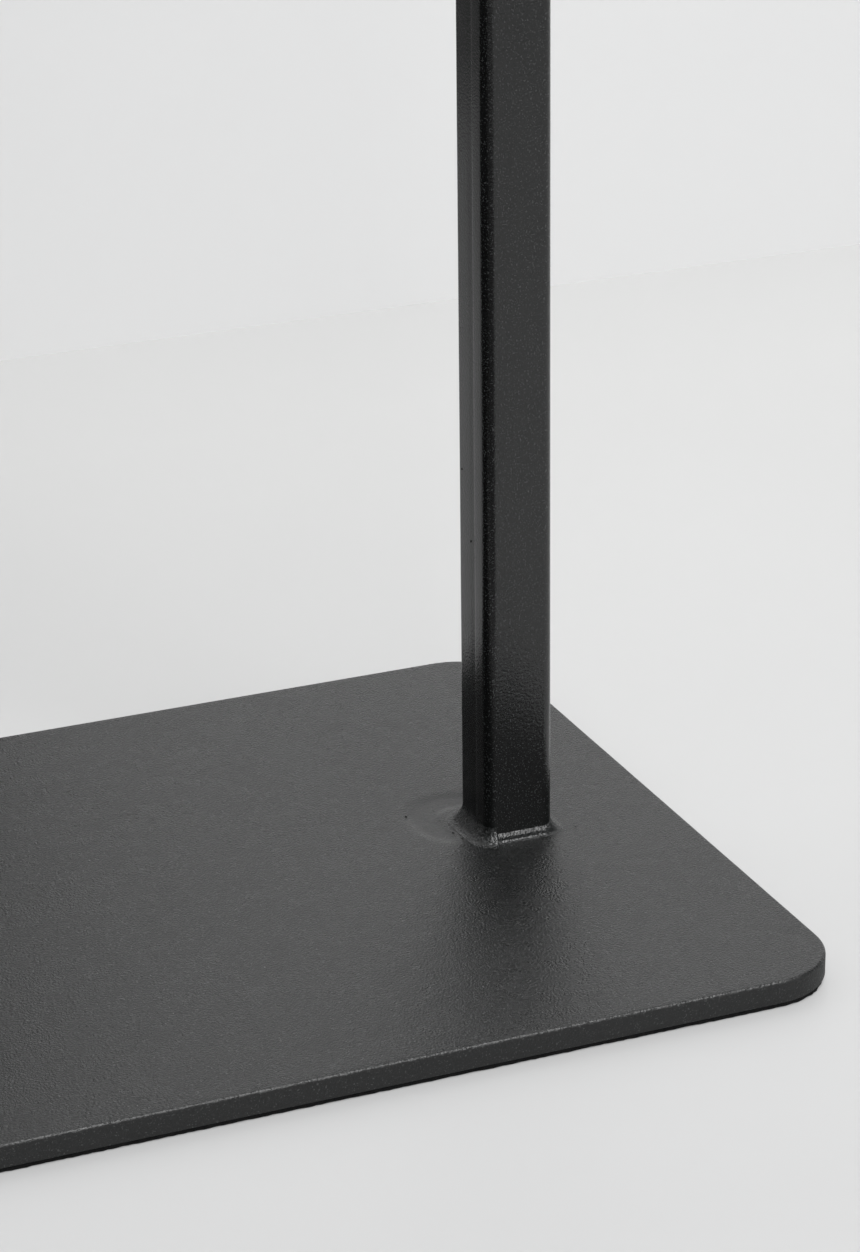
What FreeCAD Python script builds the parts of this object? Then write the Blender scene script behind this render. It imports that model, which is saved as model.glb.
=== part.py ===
"""Valet stand: a steel base plate, a welded portal of square tube, and the parts that hold clothes.

Millimetres. +Z is up, X runs along the plate's long side, Y from the front (-Y) to the back.
The origin is on the floor, under the middle of the base.
"""

import FreeCAD
import Part

import math
import os

from FreeCAD import Vector

# Base plate and its felt
PLATE_LENGTH = 460.0
PLATE_DEPTH = 290.0
PLATE_THICKNESS = 8.0
PLATE_CORNER = 26.0
PLATE_TOP_EDGE = 1.2
PLATE_BOTTOM_EDGE = 0.6
FELT_THICKNESS = 1.5
FELT_INSET = 0.5

# Portal of square tube
TUBE = 25.0
TUBE_WALL = 2.0
TUBE_CORNER = 4.0
POST_INSET = 58.5
FRAME_TOP = 1040.0
WELD_LEG = 6.0
WELD_TOE = 0.25
CORNER_WELD_LEG = 3.0

# Hanger
HANGER_LENGTH = 440.0
HANGER_CREST = 1099.0
HANGER_DROP = 40.0
HANGER_SWEEP = 16.0
HANGER_MIDDLE_DEPTH = 26.0
HANGER_MIDDLE_HEIGHT = 32.0
HANGER_END_DEPTH = 46.0
HANGER_END_HEIGHT = 25.0
HANGER_END_ROUND = 15.0
HANGER_TIP = 0.3
STANDOFF_X = 70.0
STANDOFF_RADIUS = 7.0
STANDOFF_TOP = 1083.0
INSERT_RADIUS = 5.0
INSERT_LENGTH = 13.0
POCKET_SPARE = 1.0
# Insets from the tips of the sections that the hanger is lofted through
HANGER_STATIONS = (0.0, 1.5, 5.0, HANGER_END_ROUND, 40.0, 80.0, 130.0, 180.0)
HANGER_SPREAD_POWER = 1.6
HANGER_DROP_POWER = 1.8

# Tray
TRAY_LENGTH = 306.0
TRAY_DEPTH = 120.0
TRAY_HEIGHT = 24.0
TRAY_WALL = 1.5
TRAY_CORNER = 12.0
TRAY_FOOT_ROUND = 4.0
LEDGE_TOP = 900.0
LEDGE_WIDTH = 24.0
LEDGE_DEPTH = 84.0
BRACKET_SHEET = 2.5
BRACKET_HEIGHT = 32.0
BRACKET_BEND = 1.0
BRACKET_CORNER = 6.0
BRACKET_LOW_SCREW = 7.0
BRACKET_HIGH_SCREW = 11.0
BRACKET_SCREW_LENGTH = 10.0
PAD_RADIUS = 5.0
PAD_HEIGHT = 1.5
PAD_EDGE = 0.5
PAD_FROM_TIP = 3.0
PAD_FROM_END = 5.0
MAT_THICKNESS = 2.0
MAT_GAP = 0.8

# Trouser bar and its gravity clamp
BAR_Z = 770.0
BAR_RADIUS = 9.0
BAR_WALL = 1.5
PLUG_LENGTH = 20.0
PLUG_SPARE = 3.0
GRIP_RADIUS = 10.0
GRIP_LENGTH = 42.0
GRIP_X = 84.0
CLAMP_RISE = 50.0
CLAMP_ROD_RADIUS = 4.0
CLAMP_GAP = 0.4
CLAMP_BEND = 12.0
CLAMP_EYE_RADIUS = 8.0
CLAMP_EYE_WIDTH = 5.0
CLAMP_EYE_X = 153.5
CLAMP_EYE_OVERLAP = 1.0
CLAMP_BUSH_RADIUS = 4.5
CLAMP_FLANGE_RADIUS = 6.5
CLAMP_FLANGE_GAP = 0.2
CLAMP_HEAD_GAP = 0.2
CLAMP_BUSH_PROUD = 0.1
CLAMP_SHOULDER_RADIUS = 3.0
CLAMP_SCREW_LENGTH = 16.0

# Pegs
PEG_HEIGHTS = (720.0, 860.0)
PEG_STEM_RADIUS = 4.5
PEG_HEAD_RADIUS = 8.0
PEG_REACH = 28.0
PEG_HEAD_LENGTH = 5.0
PEG_RIM = 1.5
PEG_NECK_LENGTH = 4.0
PEG_COLLAR_RADIUS = 6.0
PEG_COLLAR_LENGTH = 3.0
PEG_STUD = 9.0

# Fasteners: shank radius and button head
M4 = {"shank": 2.0, "head": 3.8, "rise": 2.2, "socket": 2.5}
M5 = {"shank": 2.5, "head": 4.75, "rise": 2.75, "socket": 3.0}
M6 = {"shank": 3.0, "head": 5.25, "rise": 3.3, "socket": 4.0}
POINT_SHARE = 0.25
SOCKET_FLOOR_SHARE = 0.35
NUT_WALL = 1.0
NUT_LENGTH = 9.0
NUT_BULGE = 0.9
NUT_BULGE_LENGTH = 2.0
SLACK = 0.05
HOLE_PLAY = 0.3

# How far a cutting tool runs past what it cuts
OVERRUN = 1.0

PLATE_BASE = FELT_THICKNESS
PLATE_TOP = PLATE_BASE + PLATE_THICKNESS
POST_X = PLATE_LENGTH / 2 - POST_INSET
HALF_TUBE = TUBE / 2
INNER_FACE = POST_X - HALF_TUBE
OUTER_FACE = POST_X + HALF_TUBE
RAIL_Z = FRAME_TOP - HALF_TUBE
CLAMP_Z = BAR_Z + CLAMP_RISE
CLAMP_Y = -(GRIP_RADIUS + CLAMP_ROD_RADIUS + CLAMP_GAP)

X_AXIS, Y_AXIS, Z_AXIS = Vector(1, 0, 0), Vector(0, 1, 0), Vector(0, 0, 1)
SIDES = (("left", -1), ("right", 1))


def save(name, *solids):
    """Writes one sub-part, checked, as parts/NAME.step."""
    shape = solids[0] if len(solids) == 1 else Part.makeCompound(list(solids))
    for solid in shape.Solids:
        assert solid.isValid() and solid.Volume > 0, name
    shape.exportStep(os.path.join("parts", name + ".step"))


def only_solid(shape):
    """The single solid of a boolean's result."""
    assert len(shape.Solids) == 1, len(shape.Solids)
    return shape.Solids[0]


def rounded_outline(width, depth, radius, z=0.0):
    """A closed wire: a rectangle with round corners, about the Z axis."""
    x, y = width / 2, depth / 2
    corners = ((x, y, 0), (-x, y, 90), (-x, -y, 180), (x, -y, 270))
    edges, starts, ends = [], [], []
    for cx, cy, angle in corners:
        centre = Vector(cx - math.copysign(radius, cx), cy - math.copysign(radius, cy), z)
        arc = Part.makeCircle(radius, centre, Z_AXIS, angle, angle + 90)
        edges.append(arc)
        starts.append(arc.valueAt(arc.FirstParameter))
        ends.append(arc.valueAt(arc.LastParameter))
    for i in range(4):
        following = starts[(i + 1) % 4]
        if ends[i].distanceToPoint(following) > 1e-6:
            edges.append(Part.makeLine(ends[i], following))
    return Part.Wire(Part.__sortEdges__(edges))


def rounded_block(width, depth, height, radius, z=0.0):
    """A block with round vertical corners, standing on z."""
    outline = rounded_outline(width, depth, radius, z)
    return Part.Face(outline).extrude(Vector(0, 0, height))


def edges_at(shape, z, tolerance=1e-4):
    """The edges of a shape that lie in the level plane z."""
    return [
        e
        for e in shape.Edges
        if abs(e.BoundBox.ZMin - z) < tolerance and abs(e.BoundBox.ZMax - z) < tolerance
    ]


def rod(radius, start, end):
    """A cylinder between two points."""
    a, b = Vector(*start), Vector(*end)
    return Part.makeCylinder(radius, (b - a).Length, a, b - a)


def ring(outer, inner, start, end):
    """A pipe between two points."""
    return rod(outer, start, end).cut(rod(inner, start, end))


def dome(radius, rise):
    """A shallow dome standing on z = 0."""
    ball_radius = (radius**2 + rise**2) / (2 * rise)
    ball = Part.makeSphere(ball_radius, Vector(0, 0, rise - ball_radius))
    return ball.common(Part.makeCylinder(radius, rise))


def button_screw(size, length, seat, direction):
    """A button-head screw: its head rests on seat and its shank runs along direction."""
    rise = size["rise"]
    body = dome(size["head"], rise)
    shank = Part.makeCylinder(size["shank"], length, Vector(0, 0, -length))
    shank = shank.makeChamfer(size["shank"] * POINT_SHARE, edges_at(shank, -length))
    key = Part.Face(Part.makePolygon(hexagon(size["socket"] / 2, rise * SOCKET_FLOOR_SHARE)))
    socket = key.extrude(Vector(0, 0, rise))
    screw = only_solid(body.fuse(shank).cut(socket).removeSplitter())
    return aimed(screw, seat, Vector(*direction).negative())


def hexagon(inner_radius, z):
    """A closed list of a hexagon's corners, for an inner radius across its flats."""
    reach = inner_radius / math.cos(math.radians(30))
    turns = [math.radians(60 * i) for i in range(7)]
    return [Vector(reach * math.cos(a), reach * math.sin(a), z) for a in turns]


def aimed(shape, place, direction):
    """A shape made along +Z, turned to a direction and moved to a place."""
    turn = FreeCAD.Rotation(Z_AXIS, Vector(*direction))
    moved = shape.copy()
    moved.Placement = FreeCAD.Placement(Vector(*place), turn)
    return moved


def mirrored_x(shape):
    """The same part for the other side of the stand."""
    return shape.mirror(Vector(0, 0, 0), X_AXIS)


def base_plate():
    """Flat plate with round corners and softened edges."""
    plate = rounded_block(PLATE_LENGTH, PLATE_DEPTH, PLATE_THICKNESS, PLATE_CORNER, PLATE_BASE)
    plate = plate.makeFillet(PLATE_TOP_EDGE, edges_at(plate, PLATE_TOP))
    return plate.makeFillet(PLATE_BOTTOM_EDGE, edges_at(plate, PLATE_BASE))


def base_felt():
    """Felt sheet glued under the plate, set back a little from its edge."""
    shrink = 2 * FELT_INSET
    corner = PLATE_CORNER - FELT_INSET
    return rounded_block(PLATE_LENGTH - shrink, PLATE_DEPTH - shrink, FELT_THICKNESS, corner)


def square_tube(length):
    """Square tube with round corners, standing on z = 0."""
    outer = rounded_block(TUBE, TUBE, length, TUBE_CORNER)
    bore = TUBE - 2 * TUBE_WALL
    inner = rounded_block(bore, bore, length, TUBE_CORNER - TUBE_WALL)
    return outer.cut(inner)


def mitre_cutter(side):
    """The half-space above the portal's corner mitre, on the rail's side of it."""
    size = 2 * PLATE_LENGTH
    corner = Vector(side * OUTER_FACE, 0, FRAME_TOP)
    points = (
        Vector(size, 0, size),
        Vector(-size, 0, -size),
        Vector(-size, 0, size),
        Vector(size, 0, size),
    )
    face = Part.Face(Part.makePolygon([Vector(side * p.x, -size, p.z) + corner for p in points]))
    return face.extrude(Vector(0, 2 * size, 0))


def post(side):
    """One post: mitred at its top, drilled for what is fastened to it."""
    tube = square_tube(FRAME_TOP - PLATE_TOP)
    tube.translate(Vector(side * POST_X, 0, PLATE_TOP))
    tube = tube.cut(mitre_cutter(side))
    inside, middle = side * (INNER_FACE - OVERRUN), side * POST_X
    outside = side * (OUTER_FACE + OVERRUN)
    bar_hole = M6["shank"] + HOLE_PLAY
    holes = [rod(bar_hole, (inside, 0, BAR_Z), (outside, 0, BAR_Z))]
    for z in bracket_screw_heights():
        holes.append(rod(nut_body(M4), (inside, 0, z), (middle, 0, z)))
    holes.append(rod(nut_body(M5), (inside, 0, CLAMP_Z), (middle, 0, CLAMP_Z)))
    for z in PEG_HEIGHTS:
        holes.append(rod(nut_body(M5), (middle, 0, z), (outside, 0, z)))
    for hole in holes:
        tube = tube.cut(hole)
    return only_solid(tube)


def top_rail():
    """The portal's top: square tube, mitred at both ends, drilled for the hanger's bolts."""
    length = 2 * OUTER_FACE
    rail = square_tube(length)
    rail = aimed(rail, (-OUTER_FACE, 0, RAIL_Z), (1, 0, 0))
    for _, side in SIDES:
        rail = rail.common(mitre_cutter(side))
        hole = M6["shank"] + HOLE_PLAY
        x = side * STANDOFF_X
        rail = rail.cut(rod(hole, (x, 0, RAIL_Z - TUBE), (x, 0, RAIL_Z + TUBE)))
    return only_solid(rail)


def foot_weld(side):
    """Fillet weld round a post's foot: a hollow-faced bead swept round the tube."""
    reach = WELD_LEG
    flat = Vector(HALF_TUBE, 0, PLATE_TOP)
    points = [
        flat,
        flat + Vector(reach, 0, 0),
        flat + Vector(reach, 0, WELD_TOE),
        flat + Vector(WELD_TOE, 0, reach),
        flat + Vector(0, 0, reach),
    ]
    radius = reach - WELD_TOE
    hollow_centre = flat + Vector(reach, 0, reach)
    hollow_middle = hollow_centre - Vector(radius, 0, radius) * math.sqrt(0.5)
    edges = [
        Part.makeLine(points[0], points[1]),
        Part.makeLine(points[1], points[2]),
        Part.Arc(points[2], hollow_middle, points[3]).toShape(),
        Part.makeLine(points[3], points[4]),
        Part.makeLine(points[4], points[0]),
    ]
    profile = Part.Face(Part.Wire(edges))
    span = TUBE - 2 * TUBE_CORNER
    pieces = []
    for quarter in range(4):
        straight = profile.copy()
        straight.translate(Vector(0, -span / 2, 0))
        run = straight.extrude(Vector(0, span, 0))
        bend = profile.copy()
        bend.translate(Vector(0, span / 2, 0))
        pivot = Vector(HALF_TUBE - TUBE_CORNER, span / 2, PLATE_TOP)
        corner = bend.revolve(pivot, Z_AXIS, 90)
        for piece in (run, corner):
            piece.rotate(Vector(0, 0, 0), Z_AXIS, 90 * quarter)
            pieces.append(piece)
    bead = pieces[0].multiFuse(pieces[1:]).removeSplitter()
    bead.translate(Vector(side * POST_X, 0, 0))
    return only_solid(bead)


def corner_welds():
    """Small fillet welds in the portal's two inner corners."""
    leg, run = CORNER_WELD_LEG, TUBE - 2 * TUBE_CORNER
    beads = []
    for _, side in SIDES:
        corner = Vector(side * INNER_FACE, -run / 2, FRAME_TOP - TUBE)
        points = [corner, corner + Vector(-side * leg, 0, 0), corner + Vector(0, 0, -leg), corner]
        beads.append(Part.Face(Part.makePolygon(points)).extrude(Vector(0, run, 0)))
    return beads


def hanger_scale(x):
    """How far the hanger's section has closed in towards its rounded ends."""
    inset = HANGER_LENGTH / 2 - abs(x)
    if inset >= HANGER_END_ROUND:
        return 1.0
    share = 1 - inset / HANGER_END_ROUND
    return HANGER_TIP + (1 - HANGER_TIP) * math.sqrt(1 - share**2)


def hanger_oval(x):
    """The hanger's section at x: it widens and thins outwards, and falls and sweeps forward."""
    share = abs(x) / (HANGER_LENGTH / 2)
    blend = share**HANGER_SPREAD_POWER
    scale = hanger_scale(x) / 2
    depth = (HANGER_MIDDLE_DEPTH + (HANGER_END_DEPTH - HANGER_MIDDLE_DEPTH) * blend) * scale
    height = (HANGER_MIDDLE_HEIGHT + (HANGER_END_HEIGHT - HANGER_MIDDLE_HEIGHT) * blend) * scale
    y = -HANGER_SWEEP * share**2
    z = HANGER_CREST - HANGER_DROP * share**HANGER_DROP_POWER
    turns = [math.radians(30 * i) for i in range(12)]
    points = [Vector(x, y + depth * math.cos(a), z + height * math.sin(a)) for a in turns]
    curve = Part.BSplineCurve()
    curve.interpolate(points, PeriodicFlag=True)
    return Part.Wire(curve.toShape())


def hanger():
    """The wooden shoulder piece, with recesses for its stand-offs and threaded inserts."""
    right = [HANGER_LENGTH / 2 - inset for inset in HANGER_STATIONS]
    stations = sorted([-x for x in right] + [0.0] + right)
    body = Part.makeLoft([hanger_oval(x) for x in stations], True, False)
    for _, side in SIDES:
        x = side * STANDOFF_X
        recess = rod(STANDOFF_RADIUS + SLACK, (x, 0, FRAME_TOP), (x, 0, STANDOFF_TOP))
        pocket_top = STANDOFF_TOP + INSERT_LENGTH + POCKET_SPARE
        pocket = rod(INSERT_RADIUS + SLACK, (x, 0, FRAME_TOP), (x, 0, pocket_top))
        body = body.cut(recess).cut(pocket)
    return only_solid(body)


def standoffs():
    """Turned sleeves that carry the hanger above the rail."""
    bore = M6["shank"] + HOLE_PLAY
    return [
        ring(
            STANDOFF_RADIUS,
            bore,
            (side * STANDOFF_X, 0, FRAME_TOP),
            (side * STANDOFF_X, 0, STANDOFF_TOP),
        )
        for _, side in SIDES
    ]


def hanger_inserts():
    """Threaded inserts in the hanger."""
    inserts = []
    for _, side in SIDES:
        low = (side * STANDOFF_X, 0, STANDOFF_TOP)
        high = (side * STANDOFF_X, 0, STANDOFF_TOP + INSERT_LENGTH)
        inserts.append(ring(INSERT_RADIUS, M6["shank"] + SLACK, low, high))
    return inserts


def hanger_bolts():
    """Long screws up through the rail and stand-offs into the inserts."""
    seat = RAIL_Z - HALF_TUBE
    length = STANDOFF_TOP + INSERT_LENGTH - POCKET_SPARE - seat
    return [
        button_screw(M6, length, (side * STANDOFF_X, 0, seat), (0, 0, 1)) for _, side in SIDES
    ]


def bracket_screw_heights():
    """The heights of the two screws of a tray bracket."""
    return (LEDGE_TOP - BRACKET_HEIGHT + BRACKET_LOW_SCREW, LEDGE_TOP - BRACKET_HIGH_SCREW)


def tray_bracket(side):
    """A bent sheet angle: an upright against the post and a ledge under the tray."""
    face = INNER_FACE
    low = LEDGE_TOP - BRACKET_HEIGHT
    sheet = BRACKET_SHEET
    half = LEDGE_DEPTH / 2
    upright = Part.makeBox(sheet, LEDGE_DEPTH, BRACKET_HEIGHT, Vector(face - sheet, -half, low))
    ledge_place = Vector(face - LEDGE_WIDTH, -half, LEDGE_TOP - sheet)
    ledge = Part.makeBox(LEDGE_WIDTH, LEDGE_DEPTH, sheet, ledge_place)
    angle = upright.fuse(ledge).removeSplitter()
    outer = [e for e in angle.Edges if along_y_at(e, face, LEDGE_TOP)]
    angle = angle.makeFillet(sheet + BRACKET_BEND, outer)
    inner = [e for e in angle.Edges if along_y_at(e, face - sheet, LEDGE_TOP - sheet)]
    angle = angle.makeFillet(BRACKET_BEND, inner)
    corners = [e for e in angle.Edges if is_bracket_corner(e, low)]
    angle = angle.makeFillet(BRACKET_CORNER, corners)
    for z in bracket_screw_heights():
        hole = M4["shank"] + HOLE_PLAY
        angle = angle.cut(rod(hole, (face - 2 * sheet, 0, z), (face + OVERRUN, 0, z)))
    angle = only_solid(angle)
    return angle if side > 0 else only_solid(mirrored_x(angle))


def along_y_at(edge, x, z):
    """Whether an edge runs along Y at the given x and z."""
    box = edge.BoundBox
    flat = max(box.XMax - box.XMin, box.ZMax - box.ZMin) < 1e-4
    return flat and abs(box.XMin - x) < 1e-4 and abs(box.ZMin - z) < 1e-4


def is_bracket_corner(edge, low):
    """Whether an edge is one of the bracket's four free corners, across the sheet."""
    box = edge.BoundBox
    across_upright = abs(box.XLength - BRACKET_SHEET) < 1e-4 and abs(box.ZMin - low) < 1e-4
    across_ledge = abs(box.ZLength - BRACKET_SHEET) < 1e-4
    at_ledge_tip = abs(box.XMin - (INNER_FACE - LEDGE_WIDTH)) < 1e-4
    thin = box.YLength < 1e-4
    return thin and (
        (across_upright and box.ZLength < 1e-4) or (across_ledge and at_ledge_tip)
    )


def nut_body(size):
    """The outer radius of a rivet nut's body."""
    return size["shank"] + NUT_WALL


def rivet_nut(size, seat, direction):
    """A rivet nut: a plain barrel from the wall's face, with a bulge set behind the wall."""
    body = nut_body(size) - SLACK
    barrel = Part.makeCylinder(body, NUT_LENGTH)
    bulge = Part.makeCylinder(body + NUT_BULGE, NUT_BULGE_LENGTH, Vector(0, 0, TUBE_WALL))
    bore_start = Vector(0, 0, -OVERRUN)
    bore = Part.makeCylinder(size["shank"] + SLACK, NUT_LENGTH + 2 * OVERRUN, bore_start)
    nut = barrel.fuse(bulge).removeSplitter().cut(bore)
    return aimed(only_solid(nut), seat, Vector(*direction))


def bracket_fasteners():
    """Screws and rivet nuts of both tray brackets."""
    screws, nuts = [], []
    for _, side in SIDES:
        for z in bracket_screw_heights():
            seat = (side * (INNER_FACE - BRACKET_SHEET), 0, z)
            screws.append(button_screw(M4, BRACKET_SCREW_LENGTH, seat, (side, 0, 0)))
            nuts.append(rivet_nut(M4, (side * INNER_FACE, 0, z), (side, 0, 0)))
    return screws, nuts


def tray_pads():
    """Soft dots on the ledges that the tray sits on."""
    x = INNER_FACE - LEDGE_WIDTH + PAD_RADIUS + PAD_FROM_TIP
    y = LEDGE_DEPTH / 2 - PAD_RADIUS - PAD_FROM_END
    pads = []
    for sx in (-1, 1):
        for sy in (-1, 1):
            foot = Vector(sx * x, sy * y, LEDGE_TOP)
            pad = Part.makeCylinder(PAD_RADIUS, PAD_HEIGHT, foot)
            pads.append(pad.makeFillet(PAD_EDGE, edges_at(pad, LEDGE_TOP + PAD_HEIGHT)))
    return pads


def tray():
    """Pressed steel pan with round corners and a rounded foot."""
    low = LEDGE_TOP + PAD_HEIGHT
    outer = rounded_block(TRAY_LENGTH, TRAY_DEPTH, TRAY_HEIGHT, TRAY_CORNER, low)
    outer = outer.makeFillet(TRAY_FOOT_ROUND, edges_at(outer, low))
    length, depth = TRAY_LENGTH - 2 * TRAY_WALL, TRAY_DEPTH - 2 * TRAY_WALL
    floor = low + TRAY_WALL
    inner = rounded_block(length, depth, TRAY_HEIGHT, TRAY_CORNER - TRAY_WALL, floor)
    inner = inner.makeFillet(TRAY_FOOT_ROUND - TRAY_WALL, edges_at(inner, floor))
    return only_solid(outer.cut(inner))


def tray_mat():
    """Leather mat on the tray's floor."""
    floor = LEDGE_TOP + PAD_HEIGHT + TRAY_WALL
    shrink = 2 * (TRAY_FOOT_ROUND + MAT_GAP)
    corner = TRAY_CORNER - TRAY_FOOT_ROUND
    return rounded_block(TRAY_LENGTH - shrink, TRAY_DEPTH - shrink, MAT_THICKNESS, corner, floor)


def trouser_bar():
    """Round tube between the posts."""
    ends = ((-INNER_FACE, 0, BAR_Z), (INNER_FACE, 0, BAR_Z))
    return ring(BAR_RADIUS, BAR_RADIUS - BAR_WALL, *ends)


def bar_plugs():
    """Threaded plugs in the trouser bar's ends."""
    plugs = []
    for _, side in SIDES:
        start, end = (side * INNER_FACE, 0, BAR_Z), (side * (INNER_FACE - PLUG_LENGTH), 0, BAR_Z)
        plugs.append(ring(BAR_RADIUS - BAR_WALL - SLACK, M6["shank"] + SLACK, start, end))
    return plugs


def bar_screws():
    """Screws through the posts into the trouser bar's plugs."""
    length = TUBE + PLUG_LENGTH - PLUG_SPARE
    return [
        button_screw(M6, length, (side * OUTER_FACE, 0, BAR_Z), (-side, 0, 0))
        for _, side in SIDES
    ]


def grip_sleeves():
    """Soft sleeves on the trouser bar that stop cloth sliding."""
    half = GRIP_LENGTH / 2
    sleeves = []
    for _, side in SIDES:
        middle = side * GRIP_X
        start, end = (middle - half, 0, BAR_Z), (middle + half, 0, BAR_Z)
        sleeves.append(ring(GRIP_RADIUS, BAR_RADIUS + SLACK, start, end))
    return sleeves


def clamp_bail():
    """Bent rod with an eye at each end: it hangs against the trouser bar's front."""
    eye_top = Vector(0, 0, CLAMP_Z)
    foot = Vector(0, CLAMP_Y, BAR_Z)
    fall = foot - eye_top
    start = eye_top + fall * ((CLAMP_EYE_RADIUS - CLAMP_EYE_OVERLAP) / fall.Length)
    bend_start = foot - fall * (CLAMP_BEND / fall.Length)
    x, inner_x = CLAMP_EYE_X, CLAMP_EYE_X - CLAMP_BEND
    down = fall * (1 / fall.Length)
    edges = []
    for side in (-1, 1):
        a = start + Vector(side * x, 0, 0)
        b = bend_start + Vector(side * x, 0, 0)
        c = foot + Vector(side * inner_x, 0, 0)
        pivot = bend_start + Vector(side * inner_x, 0, 0)
        turn = math.sqrt(0.5)
        middle = pivot + (Vector(side, 0, 0) + down) * (CLAMP_BEND * turn)
        edges += [Part.makeLine(a, b), Part.Arc(b, middle, c).toShape()]
    cross = Part.makeLine(foot - Vector(inner_x, 0, 0), foot + Vector(inner_x, 0, 0))
    path = Part.Wire(Part.__sortEdges__([*edges, cross]))
    first = path.OrderedEdges[0]
    at, along = first.valueAt(first.FirstParameter), first.tangentAt(first.FirstParameter)
    profile = Part.Wire(Part.makeCircle(CLAMP_ROD_RADIUS, at, along))
    bail = path.makePipeShell([profile], True, False)
    half = CLAMP_EYE_WIDTH / 2
    for side in (-1, 1):
        near, far = (side * (x - half), 0, CLAMP_Z), (side * (x + half), 0, CLAMP_Z)
        bail = bail.fuse(rod(CLAMP_EYE_RADIUS, near, far))
    low, high = x - half - OVERRUN, x + half + OVERRUN
    for side in (-1, 1):
        bore = rod(CLAMP_BUSH_RADIUS + SLACK, (side * low, 0, CLAMP_Z), (side * high, 0, CLAMP_Z))
        bail = bail.cut(bore)
    return only_solid(bail)


def clamp_bushes():
    """Flanged nylon bushes that the clamp's eyes turn on."""
    bushes = []
    half = CLAMP_EYE_WIDTH / 2
    for _, side in SIDES:
        eye_face = side * (CLAMP_EYE_X + half + CLAMP_FLANGE_GAP)
        inner_end = side * (CLAMP_EYE_X - half - CLAMP_BUSH_PROUD)
        wall = side * INNER_FACE
        sleeve = rod(CLAMP_BUSH_RADIUS, (inner_end, 0, CLAMP_Z), (eye_face, 0, CLAMP_Z))
        flange = rod(CLAMP_FLANGE_RADIUS, (eye_face, 0, CLAMP_Z), (wall, 0, CLAMP_Z))
        bore_start = (inner_end - side * OVERRUN, 0, CLAMP_Z)
        bore_end = (wall + side * OVERRUN, 0, CLAMP_Z)
        bore = rod(CLAMP_SHOULDER_RADIUS + SLACK, bore_start, bore_end)
        bushes.append(only_solid(sleeve.fuse(flange).removeSplitter().cut(bore)))
    return bushes


def clamp_screws():
    """Shoulder screws that hold the clamp's bushes to the posts."""
    screws = []
    head_seat = CLAMP_EYE_X - CLAMP_EYE_WIDTH / 2 - CLAMP_HEAD_GAP
    for _, side in SIDES:
        seat, wall = (side * head_seat, 0, CLAMP_Z), (side * INNER_FACE, 0, CLAMP_Z)
        head = button_screw(M5, CLAMP_SCREW_LENGTH, seat, (side, 0, 0))
        shoulder = rod(CLAMP_SHOULDER_RADIUS, seat, wall)
        screws.append(only_solid(head.fuse(shoulder).removeSplitter()))
    return screws


def clamp_nuts():
    """Rivet nuts in the posts for the clamp's screws."""
    return [rivet_nut(M5, (side * INNER_FACE, 0, CLAMP_Z), (side, 0, 0)) for _, side in SIDES]


def peg():
    """A turned peg along +Z: threaded stud, collar, stem, flared neck and domed head."""
    crown = PEG_REACH - PEG_HEAD_LENGTH
    neck = crown - PEG_NECK_LENGTH
    head = Part.makeCylinder(PEG_HEAD_RADIUS, PEG_RIM, Vector(0, 0, crown))
    cap = dome(PEG_HEAD_RADIUS, PEG_HEAD_LENGTH - PEG_RIM)
    cap.translate(Vector(0, 0, crown + PEG_RIM))
    flare = Part.makeCone(PEG_STEM_RADIUS, PEG_HEAD_RADIUS, PEG_NECK_LENGTH, Vector(0, 0, neck))
    collar = Part.makeCone(PEG_COLLAR_RADIUS, PEG_STEM_RADIUS, PEG_COLLAR_LENGTH)
    stem = Part.makeCylinder(PEG_STEM_RADIUS, crown)
    stud = Part.makeCylinder(M5["shank"], PEG_STUD + OVERRUN, Vector(0, 0, -PEG_STUD))
    return only_solid(head.multiFuse([cap, flare, collar, stem, stud]).removeSplitter())


def pegs(side):
    """Two turned pegs on a post's outer face."""
    return [aimed(peg(), (side * OUTER_FACE, 0, z), (side, 0, 0)) for z in PEG_HEIGHTS]


def peg_nuts():
    """Rivet nuts in the posts for the pegs."""
    return [
        rivet_nut(M5, (side * OUTER_FACE, 0, z), (-side, 0, 0))
        for _, side in SIDES
        for z in PEG_HEIGHTS
    ]


def main():
    os.makedirs("parts", exist_ok=True)
    save("base_plate", base_plate())
    save("base_felt", base_felt())
    for name, side in SIDES:
        save(name + "_post", post(side))
        save(name + "_foot_weld", foot_weld(side))
        save(name + "_tray_bracket", tray_bracket(side))
        save(name + "_pegs", *pegs(side))
    save("top_rail", top_rail())
    save("top_corner_welds", *corner_welds())
    save("hanger", hanger())
    save("hanger_standoffs", *standoffs())
    save("hanger_inserts", *hanger_inserts())
    save("hanger_bolts", *hanger_bolts())
    screws, nuts = bracket_fasteners()
    save("tray_bracket_screws", *screws)
    save("tray_bracket_nuts", *nuts)
    save("tray_pads", *tray_pads())
    save("tray", tray())
    save("tray_mat", tray_mat())
    save("trouser_bar", trouser_bar())
    save("trouser_bar_plugs", *bar_plugs())
    save("trouser_bar_screws", *bar_screws())
    save("trouser_bar_sleeves", *grip_sleeves())
    save("clamp_bail", clamp_bail())
    save("clamp_bushes", *clamp_bushes())
    save("clamp_screws", *clamp_screws())
    save("clamp_nuts", *clamp_nuts())
    save("peg_nuts", *peg_nuts())


main()
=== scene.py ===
import math

import bmesh
import bpy
from bpy.props import FloatProperty, FloatVectorProperty, IntProperty, PointerProperty
from mathutils import Matrix, Vector, noise


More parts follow.
